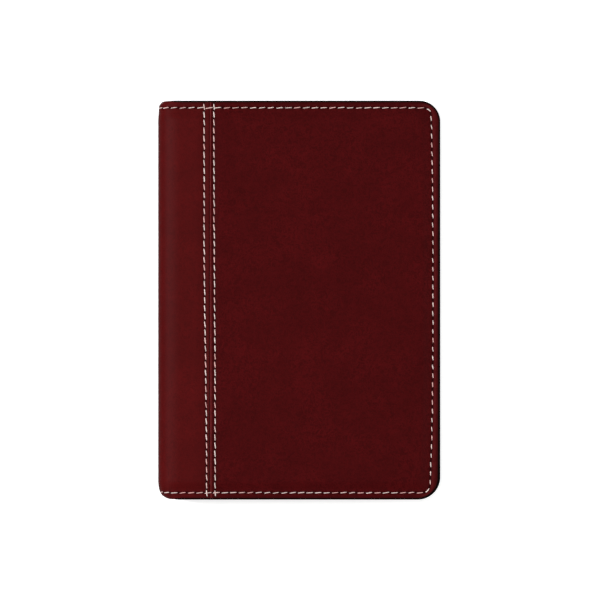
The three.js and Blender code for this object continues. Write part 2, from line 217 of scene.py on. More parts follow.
def make_leather_grain():
    group, given, wanted = start_group("leather_grain", {
        "Place": "vector", "Colour": "colour", "Pebble size": "number", "Mottle": "number",
        "Wrinkles": "number", "Roughness": "number",
    }, {"Colour": "colour", "Roughness": "number", "Height": "number"})
    place = scaled(group, given["Place"], 1 / MM)
    drift = node(group, "ShaderNodeTexNoise", {"Vector": place, "Scale": 0.9, "Detail": 2.0})
    bent_place = node(group, "ShaderNodeVectorMath", {
        0: drift.outputs["Color"], 1: (0.35, 0.35, 0.35), 2: place},
        operation="MULTIPLY_ADD").outputs[0]

    pebble_scale = maths(group, "DIVIDE", 1.0, given["Pebble size"])
    pebbles = node(group, "ShaderNodeTexVoronoi", {"Vector": bent_place, "Scale": pebble_scale},
                   feature="DISTANCE_TO_EDGE")
    crease = between(group, pebbles.outputs["Distance"], 0.0, 0.22, 1.0, 0.0)
    pores = node(group, "ShaderNodeTexVoronoi", {"Vector": bent_place, "Scale": 1.1})
    pore = between(group, pores.outputs["Distance"], 0.05, 0.16, 1.0, 0.0)

    fine_lines = maths(group, "MULTIPLY", branching(group, place, 0.6, 0.1), 0.8)
    lines = maths(group, "MAXIMUM", branching(group, place, 0.28, 0.05), fine_lines)
    more_here = between(group, cloudy(group, place, 0.07, 2.0), 0.4, 0.6, 0.6, 1.0)
    wrinkle = maths(group, "MULTIPLY", maths(group, "MULTIPLY", lines, more_here),
                    given["Wrinkles"])

    clouds = cloudy(group, place, 0.09, 4.0, Roughness=0.62)
    flecks = cloudy(group, place, 1.3, 3.0, Roughness=0.7)
    patches = weighted(group, (clouds, 0.6), (flecks, 0.4))
    off_average = maths(group, "SUBTRACT", patches, 0.5)
    lift = maths(group, "MULTIPLY_ADD", off_average, given["Mottle"], 1.0)
    sunk = maths(group, "MULTIPLY", weighted(group, (crease, 0.10), (pore, 0.12)), given["Mottle"])
    on_folds = maths(group, "MULTIPLY_ADD", wrinkle, 0.5, -0.14)
    tone = maths(group, "ADD", maths(group, "SUBTRACT", lift, sunk), on_folds)
    group.links.new(scaled(group, given["Colour"], tone), wanted["Colour"])

    rough = maths(group, "MULTIPLY_ADD", maths(group, "SUBTRACT", flecks, 0.5), 0.25,
                  given["Roughness"])
    group.links.new(rough, wanted["Roughness"])
    height = weighted(group, (flecks, 0.5), (crease, -0.45), (pore, -0.35), (wrinkle, 0.6))
    group.links.new(height, wanted["Height"])
    return group


leather_grain = make_leather_grain()
print("leather_grain:", len(leather_grain.nodes), "nodes")


# %% Painted shade and painted highlight
# Painted shade: the colour is darkened by the amount on the points times the depth.
def make_painted_shade():
    group, given, wanted = start_group("painted_shade", {
        "Colour": "colour", "Shade": "number", "Depth": "number"}, {"Colour": "colour"})
    left = maths(group, "SUBTRACT", 1.0, maths(group, "MULTIPLY", given["Shade"], given["Depth"]))
    group.links.new(scaled(group, given["Colour"], left), wanted["Colour"])
    return group


# A painted highlight: the colour passes towards a lighter one by the amount on the points.
def make_edge_sheen():
    group, given, wanted = start_group("edge_sheen", {
        "Place": "vector", "Colour": "colour", "Highlight colour": "colour", "Highlight amount": "number"},
        {"Colour": "colour"})
    uneven = cloudy(group, given["Place"], 0.7 / MM, 2.0)
    share = maths(group, "MULTIPLY", given["Highlight amount"], between(group, uneven, 0.25, 0.75, 0.45, 1.0))
    group.links.new(mixed(group, share, given["Colour"], given["Highlight colour"]), wanted["Colour"])
    return group


painted_shade = make_painted_shade()
edge_sheen = make_edge_sheen()
print("groups:", painted_shade.name, edge_sheen.name)


# %% Paper fibre and weave
def make_paper_fibre():
    group, given, wanted = start_group("paper_fibre", {
        "Place": "vector", "Colour": "colour", "Cloud": "number"},
        {"Colour": "colour", "Height": "number"})
    place = scaled(group, given["Place"], 1 / MM)
    cloud = cloudy(group, place, 0.4, 4.0)
    fibre = cloudy(group, place, 3.5, 3.0, Distortion=1.5)
    patches = weighted(group, (cloud, 0.5), (fibre, 0.5))
    tone = maths(group, "MULTIPLY_ADD", maths(group, "SUBTRACT", patches, 0.5), given["Cloud"], 1.0)
    group.links.new(scaled(group, given["Colour"], tone), wanted["Colour"])
    group.links.new(fibre, wanted["Height"])
    return group


def make_weave():
    """Threads along Y cross threads along X or Z; the pitch is in metres."""
    group, given, wanted = start_group("weave", {
        "Place": "vector", "Pitch": "number"}, {"Height": "number", "Gap": "number"})
    turn = maths(group, "DIVIDE", math.pi, given["Pitch"])
    places = node(group, "ShaderNodeSeparateXYZ", {0: given["Place"]}).outputs
    waves = {}
    for axis in ("X", "Y", "Z"):
        step = maths(group, "MULTIPLY", places[axis], turn)
        waves[axis] = maths(group, "ABSOLUTE", maths(group, "SINE", step))
    cross = maths(group, "MAXIMUM", waves["X"], waves["Z"])
    group.links.new(maths(group, "MAXIMUM", cross, waves["Y"]), wanted["Height"])
    hole = maths(group, "MINIMUM", cross, waves["Y"])
    group.links.new(between(group, hole, 0.05, 0.3, 1.0, 0.0), wanted["Gap"])
    return group


paper_fibre = make_paper_fibre()
weave = make_weave()
print("groups:", paper_fibre.name, weave.name)

# %% [markdown]
# ## The leathers
#
# The front and back panels are a grained burgundy hide with a dull wax finish. The strip
# over the spine is a smoother cut of the same colour, with more sheen, which is why a soft
# light runs down its curve. The lining that shows as a black line round the edge is thin
# leather with painted edges. Each is a Principled shader whose colour, roughness and bump
# come from the groups above. The dull finish needs very little mirror reflection, so the
# specular level is low, and the sheen is a thin rough coat. A mesh can store numbers on its
# points, here the painted shade near needles, seams, cut edges and the spine's sides, the
# painted highlight on the panel's edges and where the coat's sheen is taken off, and the
# material reads them back.


# %% Leather materials
leather_specular = 0.01
# How much the painted shade darkens leather where its amount is full.
painted_shade_depth = 0.55


def resting_place(tree, bends):
    """Where a point lies at rest: stored on pieces that may bend, object space on the others."""
    if bends:
        return node(tree, "ShaderNodeAttribute", attribute_name="place").outputs["Vector"]
    return node(tree, "ShaderNodeTexCoord").outputs["Object"]


def stored(tree, label):
    """A number that a piece keeps on each of its points."""
    return node(tree, "ShaderNodeAttribute", attribute_name=label).outputs["Fac"]


def new_material(name, **plain_values):
    material = bpy.data.materials.new(name)
    material.use_nodes = True
    tree = material.node_tree
    shader = tree.nodes["Principled BSDF"]
    for socket, value in plain_values.items():
        shader.inputs[socket.replace("_", " ")].default_value = value
    return material, tree, shader


def bump(tree, shader, height, reach, strength=1.0):
    made = node(tree, "ShaderNodeBump", {
        "Height": height, "Distance": reach * MM, "Strength": strength})
    tree.links.new(made.outputs[0], shader.inputs["Normal"])


def leather_material(name, colour, painted_sheen, pebble, mottle, wrinkles, roughness, grain_reach,
                     coat, coat_roughness):
    material, tree, shader = new_material(name, Specular_IOR_Level=leather_specular,
                                          Coat_Roughness=coat_roughness)
    place = resting_place(tree, True)
    grain = node(tree, "ShaderNodeGroup", {
        "Place": place, "Colour": colour, "Pebble size": pebble, "Mottle": mottle,
        "Wrinkles": wrinkles, "Roughness": roughness}, node_tree=leather_grain)
    # The colour gets painted shade, then a painted highlight, from numbers stored on the points.
    shade = node(tree, "ShaderNodeGroup", {
        "Colour": grain.outputs["Colour"], "Shade": stored(tree, "needle"),
        "Depth": painted_shade_depth}, node_tree=painted_shade)
    wear = node(tree, "ShaderNodeGroup", {
        "Place": place, "Colour": shade.outputs["Colour"], "Highlight colour": painted_sheen,
        "Highlight amount": stored(tree, "worn")}, node_tree=edge_sheen)
    tree.links.new(wear.outputs["Colour"], shader.inputs["Base Color"])
    tree.links.new(grain.outputs["Roughness"], shader.inputs["Roughness"])
    polished = maths(tree, "SUBTRACT", 1.0, stored(tree, "dull"))
    tree.links.new(maths(tree, "MULTIPLY", polished, coat), shader.inputs["Coat Weight"])
    bump(tree, shader, grain.outputs["Height"], grain_reach)
    return material


# Each leather's second colour is its painted highlight, the lighter tone of lit edges.
panel_leather = leather_material(
    "panel_leather", screen(69, 9, 11), screen(112, 37, 39), pebble=0.55, mottle=0.6,
    wrinkles=1.0, roughness=0.55, grain_reach=0.1, coat=0.03, coat_roughness=0.5)
strip_leather = leather_material(
    "strip_leather", screen(78, 10, 11), screen(112, 34, 34), pebble=0.45, mottle=0.7,
    wrinkles=0.55, roughness=0.5, grain_reach=0.035, coat=0.068, coat_roughness=0.54)
lining_leather = leather_material(
    "lining_leather", screen(15, 9, 8), screen(40, 30, 26), pebble=0.4, mottle=0.5,
    wrinkles=0.3, roughness=0.7, grain_reach=0.03, coat=0.0, coat_roughness=0.5)
print("leathers:", panel_leather.name, strip_leather.name, lining_leather.name)

# %% [markdown]
# ## Paper, board, cloth and thread
#
# What lies under the leather shows at the edges and when the diary opens. Page edges are
# drawn by the leaves themselves: fine lines along the block, each leaf a little lighter or
# darker. The pages carry faint ruled lines. Endpapers are a deep red sheet, boards are raw
# grey card, the foam and the cloth on the spine are an open weave. The thread is waxed and
# pale, some stitches pinker where the dye of the leather has rubbed off on them, which is
# why each stitch carries its own tone, and so does each turn of silk on the bands.


# %% Paper and board materials
leaf_thickness = 0.056
line_pitch = 7.0
line_width = 0.22
ruled_top = 58.0
ink_strength = 0.75
sheet_tooth = 0.02


def fibre_finish(tree, shader, place, colour, cloud, tooth=0.0, strength=1.0):
    """Colours a shader through paper_fibre, and lets its fibres stand out by the tooth."""
    fibre = node(tree, "ShaderNodeGroup", {"Place": place, "Colour": colour, "Cloud": cloud},
                 node_tree=paper_fibre)
    tree.links.new(fibre.outputs["Colour"], shader.inputs["Base Color"])
    if tooth:
        bump(tree, shader, fibre.outputs["Height"], tooth, strength)


def darker(colour, share):
    return tuple(share * part for part in colour[:3]) + (1.0,)


def leaf_lines(tree, place, colour):
    height = node(tree, "ShaderNodeSeparateXYZ", {0: place}).outputs["Z"]
    stack = node(tree, "ShaderNodeTexNoise", {
        "W": maths(tree, "DIVIDE", height, leaf_thickness * MM), "Scale": 1.0, "Detail": 1.0},
        noise_dimensions="1D")
    share = between(tree, stack.outputs["Fac"], 0.3, 0.7)
    return mixed(tree, share, darker(colour, 0.62), colour)


def ruled_lines(tree, place, colour):
    height = node(tree, "ShaderNodeSeparateXYZ", {0: place}).outputs["Y"]
    upwards = maths(tree, "DIVIDE", height, MM)
    above_zero = maths(tree, "ADD", upwards, 100 * line_pitch)
    step = maths(tree, "FRACT", maths(tree, "DIVIDE", above_zero, line_pitch))
    ink = maths(tree, "LESS_THAN", step, line_width / line_pitch)
    below_top = maths(tree, "LESS_THAN", maths(tree, "ABSOLUTE", upwards), ruled_top)
    share = maths(tree, "MULTIPLY", maths(tree, "MULTIPLY", ink, below_top), ink_strength)
    return mixed(tree, share, colour, screen(176, 168, 160))


def paper_material(name, colour, cloud, bends, lines=None):
    material, tree, shader = new_material(name, Roughness=0.88, Specular_IOR_Level=0.2)
    place = resting_place(tree, bends)
    drawn_colour = lines(tree, place, colour) if lines else colour
    fibre_finish(tree, shader, place, drawn_colour, cloud, sheet_tooth, 0.6)
    return material


page_edge = paper_material("page_edge", screen(240, 234, 220), 0.12, True, leaf_lines)
# The folds' end face is painted darker than the pages: painted shade for the small shadows between
# the sections' steps.
fold_paper_shaded = paper_material("fold_paper_shaded", screen(219, 212, 197), 0.12, False, leaf_lines)
ruled_page = paper_material("ruled_page", screen(244, 240, 228), 0.05, True, ruled_lines)
endpaper = paper_material("endpaper", screen(92, 24, 27), 0.25, True)
greyboard = paper_material("greyboard", screen(138, 128, 114), 0.5, False)
print("papers:", page_edge.name, ruled_page.name, endpaper.name, greyboard.name)


# %% Foam felt and cloth
def woven_material(name, colour, roughness, pitch, reach):
    """Threads of one colour with darker gaps; pitch and reach in millimetres."""
    material, tree, shader = new_material(name, Roughness=roughness, Specular_IOR_Level=0.2)
    threads = node(tree, "ShaderNodeGroup", {
        "Place": resting_place(tree, False), "Pitch": pitch * MM}, node_tree=weave)
    shade = mixed(tree, threads.outputs["Gap"], colour, darker(colour, 0.45))
    tree.links.new(shade, shader.inputs["Base Color"])
    bump(tree, shader, threads.outputs["Height"], reach)
    return material


padding_felt = woven_material("padding_felt", screen(216, 211, 200), 1.0, 0.8, 0.1)
spine_weave = woven_material("spine_weave", screen(228, 222, 208), 0.95, 1.1, 0.15)
print("cloths:", padding_felt.name, spine_weave.name)


# %% Thread, silk and needle holes
def thread_material(name, one_end, other_end, tooth, **finish):
    """Waxed or wound thread: the tone stored on its points passes between two colours."""
    material, tree, shader = new_material(name, **finish)
    colour = mixed(tree, stored(tree, "tone"), one_end, other_end)
    fibre_finish(tree, shader, resting_place(tree, True), colour, 0.3, tooth)
    return material


# The needle holes' dimples are painted dark: painted shade for the inside of each hole.
def hole_material():
    material, tree, shader = new_material("hole_shade", Specular_IOR_Level=0.05, Roughness=0.9)
    fibre_finish(tree, shader, resting_place(tree, True), screen(26, 6, 7), 0.4)
    return material


thread = thread_material("thread", screen(240, 180, 174), screen(255, 234, 227), 0.06,
                         Roughness=0.62, Specular_IOR_Level=0.3, Sheen_Weight=0.15)
band_silk = thread_material("band_silk", screen(112, 22, 26), screen(226, 208, 180), 0.05,
                            Roughness=0.5, Sheen_Weight=0.3)
hole_shade = hole_material()
print("threads:", thread.name, band_silk.name, hole_shade.name)

# %% [markdown]
# ## The cover's own measures
#
# The leather has to lie where its CAD solid lies, so the same few driving sizes come back
# here. `inset` is measured in from the spine edge, `depth` is measured down from the padded
# face, and both covers are made by one set of functions: only the last step, `on_cover`,
# knows whether a point belongs to the front or to the back. Lines that run round the cover
# are given by their distance from the head, the tail and the middle of the fore edge, and
# from the fore edge at its two corners, because the fore edge is slightly bowed.

# %% Sizes
half_width = cover_width / 2
half_height = cover_height / 2
middle = thickness / 2

# Layers of a cover
leather = 0.9
lining = 0.5
cover_stack = 2.6
inner_face = 2.75
block_bottom = 2.95

# The sewn rim
rim_drop = 1.0
rim_floor = 2.0
edge_round = 0.25
slope_width = 4.0
hollow_foot = 2.3
hollow_roof = 2.9
trough_half = 0.6
trough_depth = 0.3
row_dip = 0.16
row_dip_half = 1.3

# Fore corners
corner_head = 8.1
corner_tail = 8.7
stitch_corner = 2.9
corner_taper = 0.7
least_corner = 1.2

# The strip round the spine
spine_depth = 9.0
spine_power = 2.2
spine_corner_head = 3.1
spine_corner_tail = 5.6
corner_power = 2.5
spine_rim = 0.25
spine_rim_leather = 0.2
strip_step = 0.15
hinge_inset = 2.4
hinge_clearance = 0.05
least_leather = 0.1
regrowth = 1.2

# The seam and the rows beside it
seam_place = 20.1
seam_gap = 0.1
seam_crease = 0.35
strip_row = 18.0
panel_row = 21.75
strip_drift = {"by": 0.95, "start": 30, "length": 98}
panel_drift = {"by": 0.45, "start": 60, "length": 100}
drift_full = 0.72
drift_fade = 1.2

# Lines round the cover
cover_edge = {"head": 0.0, "tail": 0.0, "fore": 0.0, "fore_head": 0.0, "fore_tail": 0.0}
leather_edge = {"head": 0.6, "tail": 0.6, "fore": 0.8, "fore_head": 0.55, "fore_tail": 1.1}
stitch_line = {"head": 2.8, "tail": 2.7, "fore": 2.85, "fore_head": 3.75, "fore_tail": 4.3}

strip_edge = seam_place + seam_gap / 2 - 0.01
panel_seam = seam_place + seam_gap / 2
strip_half = middle - strip_step
strip_thickness = leather - strip_step


def curve_height(inset):
    return (1 - (1 - inset / spine_depth) ** spine_power) ** (1 / spine_power)


def smooth(share):
    share = min(1.0, max(0.0, share))
    return share * share * (3 - 2 * share)


def easing(value, start, length):
    """0 up to the start, 1 once the length is passed, and a smooth rise between them."""
    return smooth((value - start) / length)


def hump(distance, width):
    """A smooth hump: 1 at no distance, and about a third at the width."""
    return math.exp(-(distance / width) ** 2)


def drawn(inset, y, row):
    """Rows are sewn by eye, and near the tail both wander towards the fore edge."""
    drift = strip_drift if row == strip_row else panel_drift
    near = smooth((drift_full + drift_fade - abs(inset - row)) / drift_fade)
    return inset + drift["by"] * easing(-y, -drift["start"], drift["length"]) * near


def end_name(end):
    return "head" if end > 0 else "tail"


hinge_height = middle - strip_half * curve_height(hinge_inset)
hinge_turn = math.asin((1 - hinge_inset / spine_depth) ** (spine_power / 2))
print(f"hinge line {hinge_inset} mm in and {hinge_height:.2f} mm up")


# %% Placing points and making meshes
def on_cover(side, point):
    """A point given as inset, height along the cover and depth, in the object's own frame."""
    inset, y, depth = point
    z = depth if side == "back" else thickness - depth
    return Vector((inset - half_width, y, z)) * MM


def piece(name, points, faces, materials, face_slots=None, sharp=40.0, **values):
    """A smooth mesh with edges sharper than an angle kept. The values are numbers per point.

    Each point also keeps its resting place, which the materials use when the piece bends.
    """
    mesh = bpy.data.meshes.new(name)
    mesh.from_pydata([tuple(point) for point in points], [], faces)
    for material in materials:
        mesh.materials.append(material)
    if face_slots:
        mesh.polygons.foreach_set("material_index", face_slots)
    shaped = bmesh.new()
    shaped.from_mesh(mesh)
    bmesh.ops.recalc_face_normals(shaped, faces=shaped.faces)
    shaped.to_mesh(mesh)
    shaped.free()
    place = mesh.attributes.new("place", "FLOAT_VECTOR", "POINT")
    place.data.foreach_set("vector", [part for point in points for part in point])
    for label, numbers in values.items():
        mesh.attributes.new(label, "FLOAT", "POINT").data.foreach_set("value", numbers)
    mesh.polygons.foreach_set("use_smooth", [True] * len(mesh.polygons))
    mesh.set_sharp_from_angle(angle=math.radians(sharp))
    made = bpy.data.objects.new(name, mesh)
    bpy.context.scene.collection.objects.link(made)
    print(f"  {name}: {len(points)} points")
    return made


# %% [markdown]
# ## Paths for the stitches
#
# The stitching is what the eye goes to, so it comes before the leather: the leather then
# gets pulled in wherever a needle went through. Each row of stitches is one path over the
# cover, measured along its length, so that stitches can be stepped off on it with a divider
# as a saddler would. First come the shapes that a path follows: the bowed fore edge, the
# sewn rim, the rounded corners, and the curve of the spine. That curve is a superellipse,
# a little fuller than an ellipse, and it's drawn in where the corners of the spine are
# rounded at head and tail.


# %% Shapes that the paths follow
def fore_inset(line, y):
    end = line["fore_head"] if y > 0 else line["fore_tail"]
    return line["fore"] + (end - line["fore"]) * abs(y / half_height) ** 3


def fore_at(line, within, y):
    return cover_width - fore_inset(line, y) - within


def rim_depth(within):
    """Depth below the padded face at a distance inside the stitch line."""
    slope = rim_drop * (1 - smooth((within - trough_half) / slope_width))
    if abs(within) >= trough_half:
        return slope
    return slope + trough_depth * math.cos(math.pi / 2 * within / trough_half) ** 2


def end_within(y):
    """How far a point lies inside the stitch line of the nearer end, head or tail."""
    return half_height - stitch_line[end_name(y)] - abs(y)


def corner_draw(y):
    """How far the spine is drawn in at this height by its rounded corner."""
    radius = spine_corner_head if y > 0 else spine_corner_tail
    past = abs(y) - (half_height - radius)
    if past <= 0:
        return 0.0
    left = max(0.0, radius ** corner_power - past ** corner_power)
    return radius - left ** (1 / corner_power)


def strip_point(turn, y, depth):
    """A point of the strip where it curves over the spine, as inset, y and depth."""
    here = spine_depth - corner_draw(y)
    across = math.sin(turn) ** (2 / spine_power)
    up = abs(math.cos(turn)) ** (2 / spine_power)
    lean = across ** (spine_power - 1) / here
    rise_share = up ** (spine_power - 1) / strip_half
    length = math.hypot(lean, rise_share)
    return (
        spine_depth - here * across + depth * lean / length,
        y,
        middle - strip_half * up + depth * rise_share / length,
    )


def strip_share(turn):
    """How much of the rim's drop is left where the strip has turned this far."""
    return 1 - (1 - spine_rim) * smooth(turn / hinge_turn)


def corner_path(line, within, radius, end, last_x, last_y):
    """Two runs of points round a fore corner: up to the middle of its arc, and from there."""
    steps = 8
    edge = end * (half_height - line[end_name(end)] - within)
    centre_y = edge - end * radius
    centre_x = fore_at(line, within, centre_y) - radius
    arc = []
    for i in range(steps + 1):
        turn = math.pi / 2 * (1 - i / steps)
        arc.append((centre_x + radius * math.cos(turn), centre_y + end * radius * math.sin(turn)))
    bow = [centre_y + (end * last_y - centre_y) * i / steps for i in range(1, steps + 1)]
    first = [(last_x, edge)] + arc[:steps // 2 + 1]
    second = arc[steps // 2:] + [(fore_at(line, within, y), y) for y in bow]
    return first, second


def stepped(run, count):
    """The run of points measured off into equal steps; the first point is left out."""
    lengths = [math.dist(a, b) for a, b in zip(run, run[1:])]
    total = sum(lengths)
    found = []
    for i in range(1, count + 1):
        left = total * i / count
        for (a, b), length in zip(zip(run, run[1:]), lengths):
            if left <= length + 1e-9 and length > 0:
                share = min(1.0, left / length)
                found.append(tuple(p + (q - p) * share for p, q in zip(a, b)))
                break
            left -= length
    return found


print(f"the stitches lie {rim_depth(0):.2f} mm below the padded face")


# %% A path that can be measured
class Path:
    """A line of points over the cover, with the direction that faces out at each of them."""

    def __init__(self, points, normals):
        self.points = [Vector(point) for point in points]
        self.normals = [Vector(normal).normalized() for normal in normals]
        self.marks = [0.0]
        for a, b in zip(self.points, self.points[1:]):
            self.marks.append(self.marks[-1] + (b - a).length)

    def at(self, distance):
        """The point at a distance along the path, the way on from there, and the way out."""
        low = bisect_right(self.marks, distance) - 1
        low = min(len(self.points) - 2, max(0, low))
        span = max(1e-9, self.marks[low + 1] - self.marks[low])
        share = (distance - self.marks[low]) / span
        along = (self.points[low + 1] - self.points[low]).normalized()
        normal = self.normals[low].lerp(self.normals[low + 1], min(1.0, max(0.0, share)))
        return self.points[low].lerp(self.points[low + 1], share), along, normal.normalized()

    def nearest(self, point):
        """The distance along the path of its point that lies nearest to this one."""
        spans = [(here - Vector(point)).length for here in self.points]
        return self.marks[spans.index(min(spans))]


# %% The row round the edge and the rows along the seam
last_x = 99.0
last_y = 66.0
path_step = 0.5
spine_steps = 40
seam_steps = 200
seam_ends = 0.3


def edge_row():
    """Round the cover from the middle of the spine at the tail to its middle at the head.

    Two marks on the path come with it: the middle of the tail corner and of the head corner.
    """
    points, normals = [], []

    def over_spine(end, turns):
        y = end * (half_height - stitch_line[end_name(end)])
        for turn in turns:
            depth = strip_share(turn) * (rim_drop + trough_depth)
            here = strip_point(turn, y, depth)
            above = strip_point(turn, y, depth - 1)
            points.append(here)
            normals.append([b - a for a, b in zip(here, above)])

    def along_strip(end, insets):
        y = end * (half_height - stitch_line[end_name(end)])
        for inset in insets:
            step = strip_step if inset < seam_place else 0.0
            points.append((inset, y, step + rim_drop + trough_depth))
            normals.append((0, 0, -1))

    turns = [math.pi / 2 * i / spine_steps for i in range(spine_steps + 1)]
    count = int((last_x - spine_depth) / path_step)
    insets = [spine_depth + path_step * (i + 1) for i in range(count)]
    over_spine(-1, reversed(turns))
    along_strip(-1, insets)
    tail_first, tail_second = corner_path(stitch_line, 0, stitch_corner, -1, last_x, last_y)
    head_first, head_second = corner_path(stitch_line, 0, stitch_corner, 1, last_x, last_y)
    steps = 12
    bow = [last_y * (2 * i / steps - 1) for i in range(1, steps)]
    round_fore = tail_first[1:] + tail_second[1:] + [(fore_at(stitch_line, 0, y), y) for y in bow]
    round_fore += head_second[::-1] + head_first[-2::-1]
    for inset, y in round_fore:
        points.append((inset, y, rim_drop + trough_depth))
        normals.append((0, 0, -1))
    along_strip(1, reversed(insets))
    over_spine(1, turns)
    row = Path(points, normals)
    return row, row.nearest((*tail_second[0], rim_drop)), row.nearest((*head_second[0], rim_drop))


def seam_row(inset, step):
    """Along the seam, from tail to head over the rim at both ends."""
    points, normals = [], []
    low = -half_height + leather_edge["tail"] + seam_ends
    high = half_height - leather_edge["head"] - seam_ends
    for i in range(seam_steps + 1):
        y = low + (high - low) * i / seam_steps
        depth = step + rim_depth(end_within(y)) + trough_depth + row_dip
        points.append((drawn(inset, y, inset), y, depth))
    for i in range(seam_steps + 1):
        before, after = points[max(0, i - 1)], points[min(seam_steps, i + 1)]
        slope = (after[2] - before[2]) / (after[1] - before[1])
        normals.append((0, slope, -1))
    return Path(points, normals)


edge_path, tail_corner, head_corner = edge_row()
print(f"the row round the edge is {edge_path.marks[-1]:.0f} mm long")

# %% [markdown]
# ## One stitch
#
# A real lockstitch lies in a shallow trough, leans a little to one side and dives into a
# hole at both ends. Each stitch here is a short tube that follows its path, with the two
# plies of the thread twisted round each other, and each hole is a small dimple painted dark,
# as painted shade for the inside of the hole. The pitch of each row was measured on the real
# one. A kind of stitch says how wide its thread is, how much of the pitch the needle hole
# bites off, how sharply the ends plunge and how wide the hole is. Small random changes of
# length, width and lean keep the rows from looking printed.

# %% Stitches and needle holes
head_pitch = 3.4
tail_pitch = 3.27
fore_pitch = 3.4
seam_pitch = 3.12
edge_stitch = {"half_width": 0.155, "bite": 0.2, "plunge": 4, "hole": 0.3}
fore_stitch = {"half_width": 0.18, "bite": 0.5, "plunge": 3, "hole": 0.4}
seam_stitch = {"half_width": 0.195, "bite": 0.2, "plunge": 6, "hole": 0.3}
thread_half_height = 0.19
thread_lift = 0.1
thread_dive = 0.4
stitch_lean = -0.13
twist_length = 1.1
ply_swell = 0.14
end_taper = 0.25
end_rings = 0.8
length_stray = (-0.1, 0.06)
width_stray = (0.86, 1.12)
lean_stray = 0.06
side_stray = 0.07
thread_around = 8
thread_steps = 10
hole_length = 1.2
hole_rim = -0.05
hole_bottom = 0.04
random.seed(11)


def stitch_points(path, centre, pitch, kind):
    """The rings of one twisted stitch, as points in cover measures."""
    half = pitch / 2 - kind["bite"] + random.uniform(*length_stray)
    half_thread = kind["half_width"] * random.uniform(*width_stray)
    lean = stitch_lean + random.uniform(-lean_stray, lean_stray)
    aside = random.uniform(-side_stray, side_stray)
    start_turn = random.uniform(0, math.pi)
    rings = []
    for i in range(thread_steps + 1):
        share = 2 * i / thread_steps - 1
        share = math.copysign(abs(share) ** end_rings, share)
        point, along, normal = path.at(centre + share * half)
        sideways = normal.cross(along).normalized()
        lift = thread_lift - (thread_lift + thread_dive) * abs(share) ** kind["plunge"]
        core = point + sideways * (aside + lean * share * half) + normal * lift
        taper = 1 - end_taper * abs(share) ** 4
        twist = 2 * start_turn + 2 * math.pi * share * half / twist_length
        ring = []
        for j in range(thread_around):
            turn = 2 * math.pi * j / thread_around
            size = taper * (1 + ply_swell * math.cos(2 * turn - twist))
            ring.append(core + sideways * math.cos(turn) * half_thread * size
                        + normal * math.sin(turn) * thread_half_height * size)
        rings.append(ring)
    return rings


def hole_points(path, distance, radius):
    """The rim of the dimple where the needle went through, its bottom and its place."""
    point, along, normal = path.at(distance)
    sideways = normal.cross(along).normalized()
    rim = []
    for j in range(thread_around):
        turn = 2 * math.pi * j / thread_around
        out = along * math.cos(turn) * hole_length + sideways * math.sin(turn)
        rim.append(point + out * radius + normal * hole_rim)
    return rim, point + normal * hole_bottom, point


def add_stitch(mesh, side, rings, tone):
    points, faces, tones = mesh
    start = len(points)
    around = len(rings[0])
    for ring in rings:
        points.extend(on_cover(side, point) for point in ring)
    for level in range(len(rings) - 1):
        for j in range(around):
            low = start + level * around
            after = (j + 1) % around
            faces.append((low + j, low + after, low + around + after, low + around + j))
    faces.append(tuple(start + j for j in range(around)))
    faces.append(tuple(len(points) - around + j for j in range(around)))
    tones.extend([tone] * around * len(rings))


def add_hole(mesh, side, rim, centre):
    points, faces = mesh
    start = len(points)
    points.extend(on_cover(side, point) for point in rim)
    points.append(on_cover(side, centre))
    for j in range(len(rim)):
        faces.append((start + j, start + (j + 1) % len(rim), start + len(rim)))


print(f"a thread is {2 * seam_stitch['half_width']:.2f} mm wide along the seam")

# %% [markdown]
# ## Sewing
#
# The stitches of one cover fall into two pieces. Those on the panel and along the seam are
# sewn to a stiff cover and ride on it. Those that cross the spine have to bend with the
# strip that they are sewn through, so they form a piece of their own, which is baked where
# it lies at rest, as the strip is. The row on the fore edge starts and ends at the middle
# of its corners, and the rows at head and tail are stepped off from there to the spine.

# %% Sew both covers
end_gap = 1.7
thread_tones = (0.15, 0.5, 0.8, 1.0, 1.0)


def centres_between(low, high, pitch):
    """Places from low to high about a pitch apart, each with the pitch that fits exactly."""
    count = round((high - low) / pitch)
    return [(low + (high - low) * i / count, (high - low) / count) for i in range(count + 1)]


def stepped_off(start, stop, pitch):
    """Places one pitch apart on the way from start to stop, without start itself."""
    step = math.copysign(pitch, stop - start)
    places = []
    here = start + step
    while (stop - here) * step > 0:
        places.append(here)
        here += step
    return places


stitches = [(edge_path, centre, pitch, fore_stitch)
            for centre, pitch in centres_between(tail_corner, head_corner, fore_pitch)]
stitches += [(edge_path, centre, tail_pitch, edge_stitch)
             for centre in stepped_off(tail_corner, end_gap, tail_pitch)]
stitches += [(edge_path, centre, head_pitch, edge_stitch)
             for centre in stepped_off(head_corner, edge_path.marks[-1] - end_gap, head_pitch)]
for inset, step in ((strip_row, strip_step), (panel_row, 0.0)):
    seam_path = seam_row(inset, step)
    first, last = seam_pitch / 2, seam_path.marks[-1] - seam_pitch / 2
    for centre, pitch in centres_between(first, last, seam_pitch):
        stitches.append((seam_path, centre, pitch, seam_stitch))

needle_places = []


